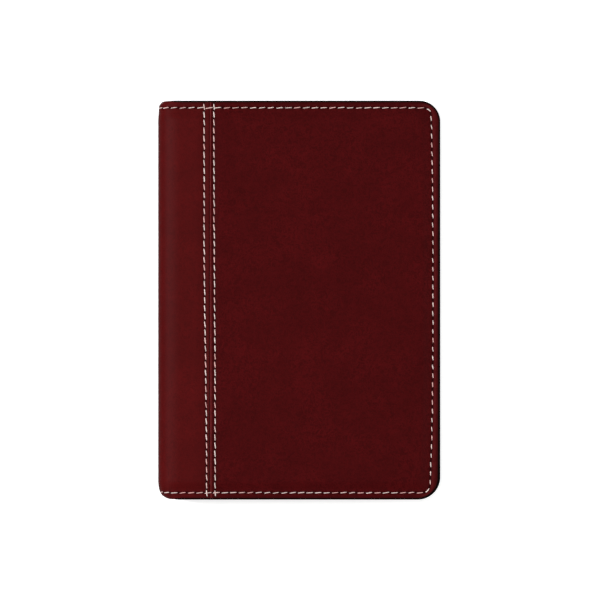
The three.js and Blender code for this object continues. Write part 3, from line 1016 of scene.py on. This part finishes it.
def sew(side):
    """Lays all stitches of a cover, and notes where the needle went through."""
    on_panel = {"thread": ([], [], []), "hole": ([], [])}
    on_strip = {"thread": ([], [], []), "hole": ([], [])}
    for path, centre, pitch, kind in stitches:
        where = path.at(centre)[0]
        target = on_strip if path is edge_path and where.x < seam_place else on_panel
        tone = random.choice(thread_tones)
        add_stitch(target["thread"], side, stitch_points(path, centre, pitch, kind), tone)
        rim, deep, point = hole_points(path, centre + pitch / 2, kind["hole"])
        add_hole(target["hole"], side, rim, deep)
        if side == "front":
            needle_places.append(point)
    made = {}
    for label, target in (("panel", on_panel), ("strip", on_strip)):
        points, faces, tones = target["thread"]
        made[label] = piece(f"{side}_{label}_stitches", points, faces, [thread], tone=tones)
        points, faces = target["hole"]
        made[label + "_holes"] = piece(f"{side}_{label}_hole_shades", points, faces, [hole_shade])
    return made


sewn = {side: sew(side) for side in ("front", "back")}
needles = kdtree.KDTree(len(needle_places))
for index, point in enumerate(needle_places):
    needles.insert(point, index)
needles.balance()
print(f"{len(stitches)} stitches on each cover")

# %% [markdown]
# ## The panels
#
# A panel could be a box with a bevel, but then every highlight on it would be a straight
# line. Real leather drawn over foam falls in a long soft slope to the sewn rim. The panel
# is therefore built from rings that run round it at fixed distances from the stitch line,
# close together where the leather bends, and an open grid for the wide flat middle. The
# depth at each ring is the padding's profile, and a little noise makes the hide lie
# unevenly, as it does. First comes what all the leather on the diary shares: how the folded
# edge at the seam is shaped, and how far a needle pulls the leather down, with painted shade
# round its hole.


# %% The pull of seam and needles
needle_pull = 0.16
needle_reach = 0.45
# Painted shade round each needle hole; this is how far it reaches.
needle_shade = 0.75
wide_wave = 16
wide_height = 0.05
fine_wave = 4.5
fine_height = 0.012
# Painted shade beside the seam's rows, where the leather dips to the stitches.
seam_darkness = 0.4
seam_shade_beside = 0.75
seam_shade_width = 0.5


def seam_depth(inset, row, edge):
    """Extra depth near the seam: the folded edge of the leather and the trough of its row."""
    extra = row_dip * hump(inset - row, row_dip_half)
    if abs(inset - row) < trough_half:
        extra += trough_depth * math.cos(math.pi / 2 * (inset - row) / trough_half) ** 2
    left = seam_crease - abs(inset - edge)
    if left > 0:
        extra += seam_crease - math.sqrt(seam_crease ** 2 - left ** 2)
    return extra


def pulled_in(point, weight):
    """How far the leather sinks here, towards needle holes and by its unevenness, and the painted
    shade round the holes.
    """
    distance = needles.find(point)[2]
    wide = noise.noise(Vector((point[0], point[1], 0)) / wide_wave)
    fine = noise.noise(Vector((point[0], point[1], 50)) / fine_wave)
    sink = needle_pull * hump(distance, needle_reach)
    sink += weight * (wide_height * wide + fine_height * fine)
    return sink, hump(distance, needle_shade)


def seam_shade(inset, row):
    """Painted shade just beside a row, where the leather dips towards the stitches."""
    return seam_darkness * hump(abs(inset - row) - seam_shade_beside, seam_shade_width)


print(f"a needle pulls the leather down by {needle_pull} mm")

# %% Rings and grid of a panel
edge_steps = 4
edge_rings = [(leather_edge, edge_round * (1 - math.cos(math.pi / 2 * i / edge_steps)),
               rim_drop + edge_round * (1 - math.sin(math.pi / 2 * i / edge_steps)))
              for i in range(edge_steps + 1)]
rim_withins = [-1.1, -0.8, -0.6, -0.45, -0.3, -0.15, 0.0, 0.15, 0.3, 0.45, 0.6, 0.8, 1.1,
               1.5, 1.9, 2.3, 2.7, 3.1, 3.5, 3.9, 4.3]
border = 4.8
corner_count = 10
grid_step = 0.72
near_seam = [0.0, 0.03, 0.1, 0.2, 0.35, 0.6, 0.8, 0.95, 1.1, 1.25, 1.4, 1.55, 1.7, 1.85, 2.0,
             2.2, 2.6, 3.1]
panel_columns = [panel_seam + offset for offset in near_seam]
column_start = panel_columns[-1]
column_count = round((last_x - column_start) / grid_step)
panel_columns += [column_start + (last_x - column_start) * i / column_count
                  for i in range(1, column_count + 1)]
row_count = round(2 * last_y / grid_step)
panel_rows = [last_y * (2 * i / row_count - 1) for i in range(row_count + 1)]


def ring_radius(line, within, end):
    if line is leather_edge:
        return (corner_head if end > 0 else corner_tail) - leather_edge["fore"] - within
    return max(least_corner, stitch_corner - corner_taper * within)


def ring(line, within):
    """The outline at this distance inside a line, from the seam round the fore edge and back."""
    edges, corners = {}, {}
    for end in (-1, 1):
        radius = ring_radius(line, within, end)
        first, second = corner_path(line, within, radius, end, last_x, last_y)
        edges[end] = first[0][1]
        corners[end] = stepped(first, corner_count) + stepped(second, corner_count)
    found = [(x, edges[-1]) for x in panel_columns] + corners[-1]
    found += [(fore_at(line, within, y), y) for y in panel_rows[1:-1]]
    return found + corners[1][::-1] + [(x, edges[1]) for x in reversed(panel_columns)]


def middle_grid():
    """Columns and rows of the flat middle, whose border is the innermost ring."""
    low = -half_height + stitch_line["tail"] + border
    high = half_height - stitch_line["head"] - border
    heights = [low + (-last_y - low) * i / corner_count for i in range(corner_count)]
    heights += panel_rows
    heights += [last_y + (high - last_y) * i / corner_count for i in range(1, corner_count + 1)]
    grid = []
    for y in heights:
        fore = fore_at(stitch_line, border, y)
        extra = [last_x + (fore - last_x) * i / corner_count for i in range(1, corner_count + 1)]
        grid.append([(x, y) for x in panel_columns + extra])
    return grid


def bridged(outer, inner):
    """Faces between two rows of point numbers; two rows that share a point get a triangle."""
    found = []
    for i in range(len(outer) - 1):
        corners = list(dict.fromkeys([outer[i], outer[i + 1], inner[i + 1], inner[i]]))
        if len(corners) > 2:
            found.append(tuple(corners))
    return found


print(f"a panel has {len(panel_columns)} columns and {len(panel_rows)} rows between its rings")

# %% Panel leather
soft_slope = 2
# Painted shade on the leather's rounded cut edge, where it turns down away from the light.
edge_shade = 0.7
# Painted highlights: lighter leather along the rim of the fore edge, and a lit line on the panel's
# folded edge at the seam.
rim_sheen = 0.4
rim_sheen_line = 0.9
rim_sheen_width = 0.5
rim_sheen_insets = (98, 7)
fold_sheen_width = 0.2
fold_middle = 0.25


def panel_mesh(side):
    points, faces, shades, worn = [], [], [], []

    def keep(inset, y, depth, shade=0.0, painted_sheen=0.0):
        points.append(on_cover(side, (drawn(inset, y, panel_row), y, depth)))
        shades.append(shade)
        # Points near the fold at the seam get a painted highlight.
        worn.append(max(painted_sheen, hump(inset - panel_seam - fold_middle, fold_sheen_width)))
        return len(points) - 1

    def skin_point(inset, y, depth, weight=0.0, painted_sheen=0.0, dark=0.0):
        depth += seam_depth(inset, panel_row, panel_seam)
        sink, shade = pulled_in((drawn(inset, y, panel_row), y, depth), weight)
        shade = max(shade, dark, seam_shade(inset, panel_row))
        return keep(inset, y, depth + sink, shade, painted_sheen)

    foot = [keep(x, y, rim_floor) for x, y in ring(leather_edge, 0.0)]
    rings = [foot]
    # The rounded edge rings get painted shade.
    for line, within, depth in edge_rings:
        rings.append([skin_point(x, y, depth, dark=edge_shade) for x, y in ring(line, within)])
    for within in rim_withins:
        weight = easing(within, trough_half, soft_slope)
        # A painted highlight along the rim, near the fore edge only.
        painted_sheen = rim_sheen * hump(within + rim_sheen_line, rim_sheen_width)
        rings.append([
            skin_point(x, y, rim_depth(within), weight, painted_sheen * easing(x, *rim_sheen_insets))
            for x, y in ring(stitch_line, within)])
    grid = [[skin_point(x, y, 0.0, 1.0) for x, y in row] for row in middle_grid()]
    inner = grid[0] + [row[-1] for row in grid[1:]] + grid[-1][-2::-1]
    for low, high in zip(rings + grid[:-1], rings[1:] + [inner] + grid[1:]):
        faces += bridged(low, high)

    hollow = [keep(x, y, rim_floor) for x, y in ring(stitch_line, hollow_foot)]
    roof = [keep(x, y, leather) for x, y in ring(stitch_line, hollow_roof)]
    faces += bridged(foot, hollow) + bridged(hollow, roof)
    faces.append(tuple(roof))
    wall = [one[0] for one in rings] + [row[0] for row in grid]
    wall += [one[-1] for one in reversed(rings)] + [hollow[-1], roof[-1], roof[0], hollow[0]]
    faces.append(tuple(wall))
    # The shades are painted shade, the other numbers a painted highlight.
    made = piece(f"{side}_panel", points, faces, [panel_leather], needle=shades, worn=worn)
    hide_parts(f"{side}_panel_leather")
    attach(made, f"{side}_cover")


for side in ("front", "back"):
    panel_mesh(side)

# %% [markdown]
# ## The spine strip
#
# One strip of smoother hide is glued to both covers and runs round the spine between them.
# The solids cut it at the two hinge lines. A half is a skin: an outer and an inner sheet
# of points, station by station from the seam to the middle of the spine. On the cover a
# station is a distance from the spine edge, and round the spine it's a turn of the
# superellipse.
#
# Leather that bends over a hinge has to be pared thin there, or the open cover would press
# it into the paper. At head and tail it's folded over the ends of the spine like a cap, so
# it reaches a little further than on the covers.


# %% Lines and stations of the strip
near_edge = (0.0, 0.03, 0.1, 0.2, 0.35, 0.6, 1.0)
trough_stations = 8
flat_stations = 14
curve_stations = 34


def strip_lines():
    """Lines along the height: y, rim's drop, trough, hollow under it, and cut edge or not."""
    found = {}
    for end in (-1, 1):
        name = end_name(end)
        side = []
        for line, within, depth in edge_rings:
            side.append((end * (half_height - line[name] - within), depth, 0.0, 0.0, True))
        for within in rim_withins + [border]:
            y = end * (half_height - stitch_line[name] - within)
            slope = rim_drop * (1 - easing(within, trough_half, slope_width))
            hollow = easing(within, hollow_foot, hollow_roof - hollow_foot)
            side.append((y, slope, rim_depth(within) - slope, hollow, False))
        found[name] = side
    low, high = found["tail"][-1][0], found["head"][-1][0]
    count = round((high - low) / grid_step)
    flat = [(low + (high - low) * i / count, 0.0, 0.0, 1.0, False) for i in range(1, count)]
    return found["tail"] + flat + found["head"][::-1]


def strip_stations():
    """Places across the strip: flat ones as an inset, curved ones as a turn of the spine."""
    flat = [strip_edge - offset for offset in near_edge]
    flat += [strip_row + trough_half * (1 - 2 * i / trough_stations)
             for i in range(trough_stations + 1)]
    trough_end = flat[-1]
    flat += [trough_end + (spine_depth - trough_end) * i / flat_stations
             for i in range(1, flat_stations + 1)]
    return [("flat", inset) for inset in flat] + [
        ("curve", math.pi / 2 * i / curve_stations) for i in range(1, curve_stations + 1)]


def under_depth(share, hollow=0.0):
    """Depth of the strip's underside; the share is how much of the rim's drop is left."""
    kept = (share - spine_rim) / (1 - spine_rim)
    step = spine_rim_leather + (rim_floor - leather - spine_rim_leather) * kept
    return strip_thickness + step * (1 - hollow)


def pared_depth(turn, y):
    """The depth at which the strip's underside just clears the paper."""
    face = strip_point(turn, y, 0)[2]
    below = strip_point(turn, y, 1)[2]
    return (inner_face - hinge_clearance - face) / max(1e-6, below - face)


def pared(turn, y, under):
    """The underside clear of the paper up to the hinge, and growing thick again past it."""
    past = max(0.0, turn - hinge_turn)
    return min(under, pared_depth(min(turn, hinge_turn), y) + regrowth * past)


print(f"the strip has {len(strip_lines())} lines and {len(strip_stations())} stations")

# %% Strip leather
strip_unevenness = 0.35
# Painted shade on the strip: a painted shadow in the crease along its edge at the seam, shade
# growing towards the row beside the seam, and darker curved sides of the spine.
seam_shadow = 0.4
row_shade = 0.2
row_shade_insets = (spine_depth + 4, 5)
cap_reach = 0.45
cap_turns = (0.2, 0.5)
cap_ends = (half_height - 2.4, 1.2)
dull_turns = (0.5, 0.45)
side_shade = 0.6
side_turns = (0.95, 0.35)


def on_flat(inset, y, drop, trough, hollow, cut_edge):
    """The strip where it lies on a cover: outer point, inner point, painted shade and dullness."""
    depth = drop + trough + seam_depth(inset, strip_row, strip_edge)
    x = drawn(inset, y, strip_row)
    sink, shade = pulled_in((x, y, strip_step + depth), strip_unevenness)
    # Painted shade round needle holes, beside the row, towards it and in the crease at the edge.
    shade = max(shade, seam_shade(inset, strip_row), row_shade * easing(inset, *row_shade_insets),
                easing(inset, strip_edge - seam_shadow, seam_shadow))
    outer = (x, y, strip_step + depth + sink)
    inner = (inset, y, strip_step + under_depth(1.0, hollow))
    # A cut edge gets the painted shade of the rounded edge instead.
    return outer, inner, edge_shade if cut_edge else shade, 0.0


def on_curve(turn, y, drop, trough, hollow, _):
    """The strip where it curves over the spine, where the rim fades and the sheen goes.

    The cut edge flag, the last part of a line, isn't used: the cut edge gets no painted shade
    there.
    """
    share = strip_share(turn)
    cap = cap_reach * easing(turn, *cap_turns) * easing(abs(y), *cap_ends)
    y += math.copysign(cap, y)
    depth = share * (drop + trough)
    sink, shade = pulled_in(strip_point(turn, y, depth), strip_unevenness)
    under = max(depth + least_leather + sink, pared(turn, y, under_depth(share, hollow)))
    # The spine's curved sides get painted shade.
    shade = max(shade, side_shade * easing(turn, *side_turns))
    outer, inner = strip_point(turn, y, depth + sink), strip_point(turn, y, under)
    return outer, inner, shade, easing(turn, *dull_turns)


def skin(side, outer, inner):
    """A closed skin between an outer and an inner grid of points."""
    rows, columns = len(outer), len(outer[0])
    count = rows * columns
    points = [on_cover(side, point) for sheet in (outer, inner) for line in sheet for point in line]
    faces = []
    for i in range(rows - 1):
        for j in range(columns - 1):
            a = i * columns + j
            faces.append((a, a + 1, a + columns + 1, a + columns))
            faces.append((count + a, count + a + columns, count + a + columns + 1, count + a + 1))
    last = (rows - 1) * columns
    around = [j for j in range(columns)]
    around += [i * columns + columns - 1 for i in range(1, rows)]
    around += [last + j for j in range(columns - 2, -1, -1)]
    around += [i * columns for i in range(rows - 2, 0, -1)]
    for a, b in zip(around, around[1:] + around[:1]):
        faces.append((a, b, count + b, count + a))
    return points, faces


def strip_mesh(side):
    lines = strip_lines()
    outer, inner, shades, dull = [], [], [], []
    for kind, value in strip_stations():
        shape = on_flat if kind == "flat" else on_curve
        made = [shape(value, *line) for line in lines]
        outer.append([one[0] for one in made])
        inner.append([one[1] for one in made])
        shades += [one[2] for one in made]
        dull += [one[3] for one in made]
    points, faces = skin(side, outer, inner)
    unseen = [0.0] * len(shades)
    made = piece(f"{side}_strip", points, faces, [strip_leather], needle=shades + unseen,
                 dull=dull + unseen)
    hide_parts(f"{side}_spine_flap", "spine_leather")
    return made


# %% [markdown]
# The black lining of the covers goes on round the ends of the spine as a narrow lip under
# the strip. It has the strip's own curve, a leather's thickness further in, and is baked
# where it lies at rest, as the strip is.

# %% Lip of the lining
lip_start = 8.6
lip_width = 1.7
lip_thickness = 0.35
lip_lines = 6
lip_stations = 24


def strip_lining(side, end):
    """The black lining's lip under one end of the strip, from the flat part round the spine."""
    edge = half_height - lip_width
    ys = [end * (edge + lip_width * i / lip_lines) for i in range(lip_lines + 1)]
    top = strip_step + under_depth(1.0)
    outer = [[(inset, y, top) for y in ys] for inset in (lip_start, spine_depth)]
    inner = [[(x, y, z + lip_thickness) for x, y, z in line] for line in outer]
    for i in range(1, lip_stations + 1):
        turn = math.pi / 2 * i / lip_stations
        under = under_depth(strip_share(turn))
        outer.append([strip_point(turn, y, under) for y in ys])
        inner.append([strip_point(turn, y, under + lip_thickness) for y in ys])
    points, faces = skin(side, outer, inner)
    made = piece(f"{side}_{end_name(end)}_lining_lip", points, faces, [lining_leather])
    return made


# %% [markdown]
# ## The strip at rest
#
# The strip, its lining lips and the stitches and holes in it are baked where they lie at
# rest; nothing here blends them across the hinges. The stitches and holes on the panels
# ride on the covers.


def bend_over_hinge(made):
    """Bakes a piece of the strip where it lies at rest; it isn't blended across its hinge."""
    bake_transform(made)


for side in ("front", "back"):
    bend_over_hinge(strip_mesh(side))
    for end in (-1, 1):
        bend_over_hinge(strip_lining(side, end))
    for label in ("strip", "strip_holes"):
        bend_over_hinge(sewn[side][label])
    for label in ("panel", "panel_holes"):
        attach(sewn[side][label], f"{side}_cover")

# %% [markdown]
# ## Lining and endpapers
#
# Under the leather lies a black lining that stands out by less than a millimetre, the dark
# line round the diary. It and the pasted endpaper are thin sheets with a rounded outline
# and softened edges, so one function makes them: a loft of the same outline at four
# heights, with a flat face at each end. Foam and flyleaves are made with it later on.


# %% Thin sheets
corner_points = 20
fore_points = 14


def rounded_outline(line, within, start, radius_head, radius_tail):
    """From a straight side at the start round the fore edge, at this distance inside a line."""
    bottom = -half_height + line["tail"] + within
    top = half_height - line["head"] - within
    low, high = bottom + radius_tail, top - radius_head
    found = [(start, bottom)]
    for i in range(corner_points):
        turn = (i / corner_points - 1) * math.pi / 2
        found.append((fore_at(line, within, low) + radius_tail * (math.cos(turn) - 1),
                      low + radius_tail * math.sin(turn)))
    for i in range(fore_points + 1):
        y = low + (high - low) * i / fore_points
        found.append((fore_at(line, within, y), y))
    for i in range(1, corner_points + 1):
        turn = i / corner_points * math.pi / 2
        found.append((fore_at(line, within, high) + radius_head * (math.cos(turn) - 1),
                      high + radius_head * math.sin(turn)))
    return found + [(start, top)]


def lofted(levels, count):
    """Side faces of a loft: so many levels, each a closed ring of so many points."""
    found = []
    for level in range(levels - 1):
        for i in range(count):
            a, b = level * count + i, level * count + (i + 1) % count
            found.append((a, b, b + count, a + count))
    return found


def thin_sheet(name, side, outline, low, high, softness, material):
    """outline(within) gives the sheet's shape; its upper and lower edges are softened."""
    levels = [(low, softness), (low + softness, 0.0), (high - softness, 0.0), (high, softness)]
    points = []
    for depth, within in levels:
        points += [on_cover(side, (x, y, depth)) for x, y in outline(within)]
    count = len(points) // len(levels)
    faces = lofted(len(levels), count)
    faces.append(tuple(range(count)))
    faces.append(tuple(range(len(points) - count, len(points))))
    return piece(name, points, faces, [material], sharp=60)


# %% Lining and pastedown
lining_start = 8.0
lining_softness = 0.12
pastedown_start = 3.8
pastedown_margin = 3.2
pastedown_gap = 0.01
paper_softness = 0.03


def lining_outline(within):
    return rounded_outline(cover_edge, within, lining_start, corner_head - within,
                           corner_tail - within)


def pastedown_outline(within):
    return rounded_outline(cover_edge, pastedown_margin + within, pastedown_start,
                           corner_head - pastedown_margin, corner_tail - pastedown_margin)


for side in ("front", "back"):
    sheet = thin_sheet(f"{side}_lining_leather", side, lining_outline, cover_stack - lining,
                       cover_stack, lining_softness, lining_leather)
    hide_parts(f"{side}_lining")
    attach(sheet, f"{side}_cover")
    sheet = thin_sheet(f"{side}_endpaper", side, pastedown_outline, cover_stack + pastedown_gap,
                       inner_face, paper_softness, endpaper)
    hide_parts(f"{side}_pastedown")
    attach(sheet, f"{side}_cover")

# %% [markdown]
# ## The pages
#
# Twelve sewn sections make the block. Every section is folded paper: at the spine its folds
# are glued, and a millimetre and a half further its leaves bend when the diary opens. So a
# section is a thin stack that starts on the spine; here it's baked where it lies at rest.
# Its sides aren't smooth: small bundles of leaves stand a few hundredths of a millimetre in
# or out, which is what catches the light along the edge of any real book.

# %% Sections
section_count = 12
section_pitch = (thickness - 2 * block_bottom) / section_count
page_gap = 0.05
fold_clearance = 0.2
fore_square = 3.4
end_square = 3.0
leaf_corner = 5.0
bundles = 8
bundle_stray = (-0.04, 0.05)
bundle_edge = 0.05
bundle_rounding = 0.2
leaf_line = {"head": end_square, "tail": end_square, "fore": fore_square,
             "fore_head": fore_square, "fore_tail": fore_square}
bend_columns = 9


def section_pivot(index):
    """Inset and height of the line about which a section turns, counted from the back."""
    z = block_bottom + (index + 0.5) * section_pitch
    from_cover = z if index < section_count / 2 else thickness - z
    return hinge_inset + from_cover - hinge_height, z


def section_levels(low, high):
    """Heights of the bundles' edges, with how far each lies in from the page line."""
    found = []
    step = (high - low) / bundles
    for i in range(bundles):
        stray = random.uniform(*bundle_stray)
        bottom = low + i * step
        found += [(bottom, stray + bundle_edge), (bottom + bundle_rounding * step, stray),
                  (bottom + (1 - bundle_rounding) * step, stray)]
    return found + [(high, bundle_edge)]


def section_mesh(number):
    index = section_count - number
    pivot, z = section_pivot(index)
    half = section_pitch / 2 + fold_clearance
    low = block_bottom + index * section_pitch + page_gap / 2
    levels = section_levels(low, low + section_pitch - page_gap)
    bends = [pivot - half + 2 * half * i / (bend_columns - 1) for i in range(bend_columns)]
    points = []
    for height, within in levels:
        outline = rounded_outline(leaf_line, within, bends[-1], leaf_corner, leaf_corner)
        y_low, y_high = outline[0][1], outline[-1][1]
        whole = [(x, y_low) for x in bends[:-1]] + outline + [(x, y_high) for x in bends[-2::-1]]
        points += [Vector((x - half_width, y, height)) * MM for x, y in whole]
    count = len(points) // len(levels)
    faces = lofted(len(levels), count)
    slots = [0] * len(faces)
    for base in (0, len(points) - count):
        for i in range(bend_columns - 1):
            faces.append((base + i, base + i + 1, base + count - 2 - i, base + count - 1 - i))
        faces.append(tuple(range(base + bend_columns - 1, base + count - bend_columns + 1)))
    slots += [1] * (len(faces) - len(slots))
    name = f"section_{number:02d}"
    made = piece(f"pages_{number:02d}", points, faces, [page_edge, ruled_page], slots, sharp=60)
    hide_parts(name)
    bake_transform(made)
    return bends[-1]


page_starts = {number: section_mesh(number) for number in range(1, section_count + 1)}
print(f"{section_count} sections, {section_pitch:.3f} mm each")

# %% [markdown]
# The flyleaves lie on the outermost sections and turn with them. They start a little
# further from the folds than the pages do, to stay clear of the bending strip.

# %% Flyleaves
flyleaf_gap = 0.025
flyleaf_back = 1.9


def add_flyleaf(side, number):
    def outline(within):
        return rounded_outline(leaf_line, within, page_starts[number] + flyleaf_back,
                               leaf_corner, leaf_corner)

    sheet = thin_sheet(f"{side}_flyleaf_paper", side, outline, inner_face + flyleaf_gap,
                       block_bottom - flyleaf_gap, paper_softness, endpaper)
    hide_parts(f"{side}_flyleaf")
    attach(sheet, f"section_{number:02d}")


add_flyleaf("front", 1)
add_flyleaf("back", section_count)

# %% [markdown]
# ## Head and tail bands
#
# At both ends of the spine a rolled band hides the folds. It's a core wound with two
# colours of silk. The winding is modelled as a tube whose radius rises and falls with each
# turn of the silk, and each turn's colour is stored as a tone.

# %% Bands
back_inset = 2.7
back_rounding = 0.7
band_radius = 0.5
band_inset = 0.3
band_gap = 0.05
silk_pitch = 0.42
silk_swell = 0.1
light_every = 3


def block_back(z):
    """Inset of the backs of the sections, which lie in a slight hollow."""
    share = (z - middle) / (middle - block_bottom)
    return back_inset + back_rounding * share * share


def band_mesh(name, end):
    low = block_bottom + 2 * section_pitch
    high = thickness - low
    around, per_turn = 16, 6
    turns = round((high - low) / silk_pitch)
    points, tones = [], []
    centre_y = half_height - end_square + band_gap + band_radius
    for i in range(turns * per_turn + 1):
        z = low + (high - low) * i / (turns * per_turn)
        swell = abs(math.sin(math.pi * i / per_turn)) ** 0.6
        radius = band_radius * (1 - silk_swell + silk_swell * swell)
        tone = 1.0 if (i // per_turn) % light_every == 0 else 0.0
        for j in range(around):
            turn = 2 * math.pi * j / around
            x = block_back(z) + band_inset + band_radius + radius * math.cos(turn)
            y = end * (centre_y + radius * math.sin(turn))
            points.append(Vector((x - half_width, y, z)) * MM)
            tones.append(tone)
    faces = lofted(turns * per_turn + 1, around)
    faces.append(tuple(range(around)))
    faces.append(tuple(range(len(points) - around, len(points))))
    made = piece(name + "_silk", points, faces, [band_silk], tone=tones)
    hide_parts(name)
    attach(made, "spine")


band_mesh("head_band", 1)
band_mesh("tail_band", -1)
print("bands wound at head and tail")

# %% [markdown]
# ## Foam and cloth
#
# Two hidden layers are soft, so they're made here instead of staying solids. A thin foam
# lies between leather and board, with a pressed edge. Open cloth is glued over the backs of
# the sections: it follows their slight hollow and reaches over the outermost folds.

# %% Foam and cloth
glue_line = 0.05
board_clearance = 0.3
board_start = 9.6
foam = 0.25
foam_softness = 0.08
cloth = 0.3
cloth_reach = 0.4
cloth_margin = 5.0
cloth_ripple = 0.06
ripple_length = 3


def foam_outline(within):
    inside = hollow_roof + 2 * board_clearance + within
    return rounded_outline(stitch_line, inside, board_start + board_clearance + within,
                           stitch_corner, stitch_corner)


for side in ("front", "back"):
    top = leather + glue_line
    pad = thin_sheet(f"{side}_foam", side, foam_outline, top, top + foam, foam_softness,
                     padding_felt)
    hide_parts(f"{side}_padding")
    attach(pad, f"{side}_cover")


def cloth_mesh():
    low = block_bottom + section_pitch - cloth_reach
    high = thickness - low
    half_length = half_height - end_square - cloth_margin
    across, along = 20, 60
    heights = [low + (high - low) * i / across for i in range(across + 1)]
    ys = [half_length * (2 * i / along - 1) for i in range(along + 1)]
    under, over = [], []
    for z in heights:
        glued = block_back(z) - glue_line
        ripple = [cloth_ripple * noise.noise(Vector((y, z, 9)) / ripple_length) for y in ys]
        under.append([(glued, y, z) for y in ys])
        over.append([(glued - cloth + lift, y, z) for y, lift in zip(ys, ripple)])
    points, faces = skin("back", over, under)
    made = piece("spine_mull", points, faces, [spine_weave], sharp=60)
    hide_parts("spine_cloth")
    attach(made, "spine")


cloth_mesh()

# %% [markdown]
# ## Materials for the solids that stay
#
# Boards, card and the glued folds have the right shape already. They're mostly covered, and
# only get their materials.

# %% Finish the remaining nodes
finishes = {
    "back_board": greyboard, "front_board": greyboard, "spine_card": greyboard,
    "sewn_folds": fold_paper_shaded,
}
for name, material in finishes.items():
    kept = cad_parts[name]
    kept.data.materials.clear()
    kept.data.materials.append(material)
print("finished nodes:", ", ".join(finishes))

# %% [markdown]
# ## Light and floor
#
# The studio is a white table under four soft boxes. The key light is narrow and stands well
# over to the spine's side, at the angle where the curved strip mirrors it up into the
# camera: that's the long soft highlight. The fill and the top light open the shadows from
# the other sides, and a weak high one widens the highlight. The world and floor look pure
# white to the camera and in reflections, but give the diary only a modest, even light, so
# its colours render as they're written.


# %% Soft boxes
def soft_box(name, direction, distance, width, length, power):
    lamp = bpy.data.lights.new(name, "AREA")
    lamp.shape = "RECTANGLE"
    lamp.size = width
    lamp.size_y = length
    lamp.energy = power
    made = bpy.data.objects.new(name, lamp)
    bpy.context.scene.collection.objects.link(made)
    away = Vector(direction).normalized()
    made.location = away * distance
    made.rotation_euler = away.to_track_quat("Z", "Y").to_euler()


soft_box("key", (-0.77, 0.1, 0.64), distance=0.9, width=0.08, length=0.9, power=7.0)
soft_box("fill", (0.8, -0.15, 0.6), distance=1.0, width=0.5, length=0.9, power=4.3)
soft_box("top", (0.1, 0.75, 0.65), distance=1.0, width=0.8, length=0.5, power=1.2)
soft_box("high", (-0.4, 0.1, 0.9), distance=1.0, width=0.45, length=0.9, power=0.7)
print("soft boxes:", ", ".join(lamp.name for lamp in bpy.data.lights))

# %% World and floor
surroundings = 0.2
floor_half = 1.5
floor_gap = 0.1
floor_glow = 0.6
plain_white = (1, 1, 1, 1)


def seen_directly(tree):
    """1 for rays that look at a surface straight, by reflection or through glass."""
    path = node(tree, "ShaderNodeLightPath").outputs
    seen = maths(tree, "MAXIMUM", path["Is Camera Ray"], path["Is Glossy Ray"])
    return maths(tree, "MAXIMUM", seen, path["Is Transmission Ray"])


def make_world():
    world = bpy.data.worlds.new("studio")
    world.use_nodes = True
    bpy.context.scene.world = world
    tree = world.node_tree
    tree.nodes.clear()
    lighting = node(tree, "ShaderNodeBackground", {"Color": plain_white, "Strength": surroundings})
    white = node(tree, "ShaderNodeBackground", {"Color": plain_white, "Strength": 1.0})
    choice = node(tree, "ShaderNodeMixShader", {
        0: seen_directly(tree), 1: lighting.outputs[0], 2: white.outputs[0]})
    node(tree, "ShaderNodeOutputWorld", {0: choice.outputs[0]})


def make_floor():
    material, tree, shader = new_material("floor_paint", Base_Color=(0.9, 0.9, 0.9, 1),
                                          Roughness=1.0, Specular_IOR_Level=0.0,
                                          Emission_Color=plain_white)
    glow = maths(tree, "MULTIPLY", seen_directly(tree), floor_glow)
    tree.links.new(glow, shader.inputs["Emission Strength"])
    mesh = bpy.data.meshes.new("floor")
    corners = [(-1, -1), (1, -1), (1, 1), (-1, 1)]
    mesh.from_pydata([(x * floor_half, y * floor_half, 0) for x, y in corners], [], [(0, 1, 2, 3)])
    mesh.materials.append(material)
    floor = bpy.data.objects.new("floor", mesh)
    floor.location.z = -floor_gap * MM
    bpy.context.scene.collection.objects.link(floor)


make_world()
make_floor()
print("studio: world and floor")

# %% [markdown]
# ## The solids' box
#
# The box of the solids is printed at the end. The dressed diary is meant to stay inside it,
# apart from a little that soft parts may stand proud.

# %% Finish
print("box of the solids:", [[round(v / MM, 2) for v in corner] for corner in cad_box])
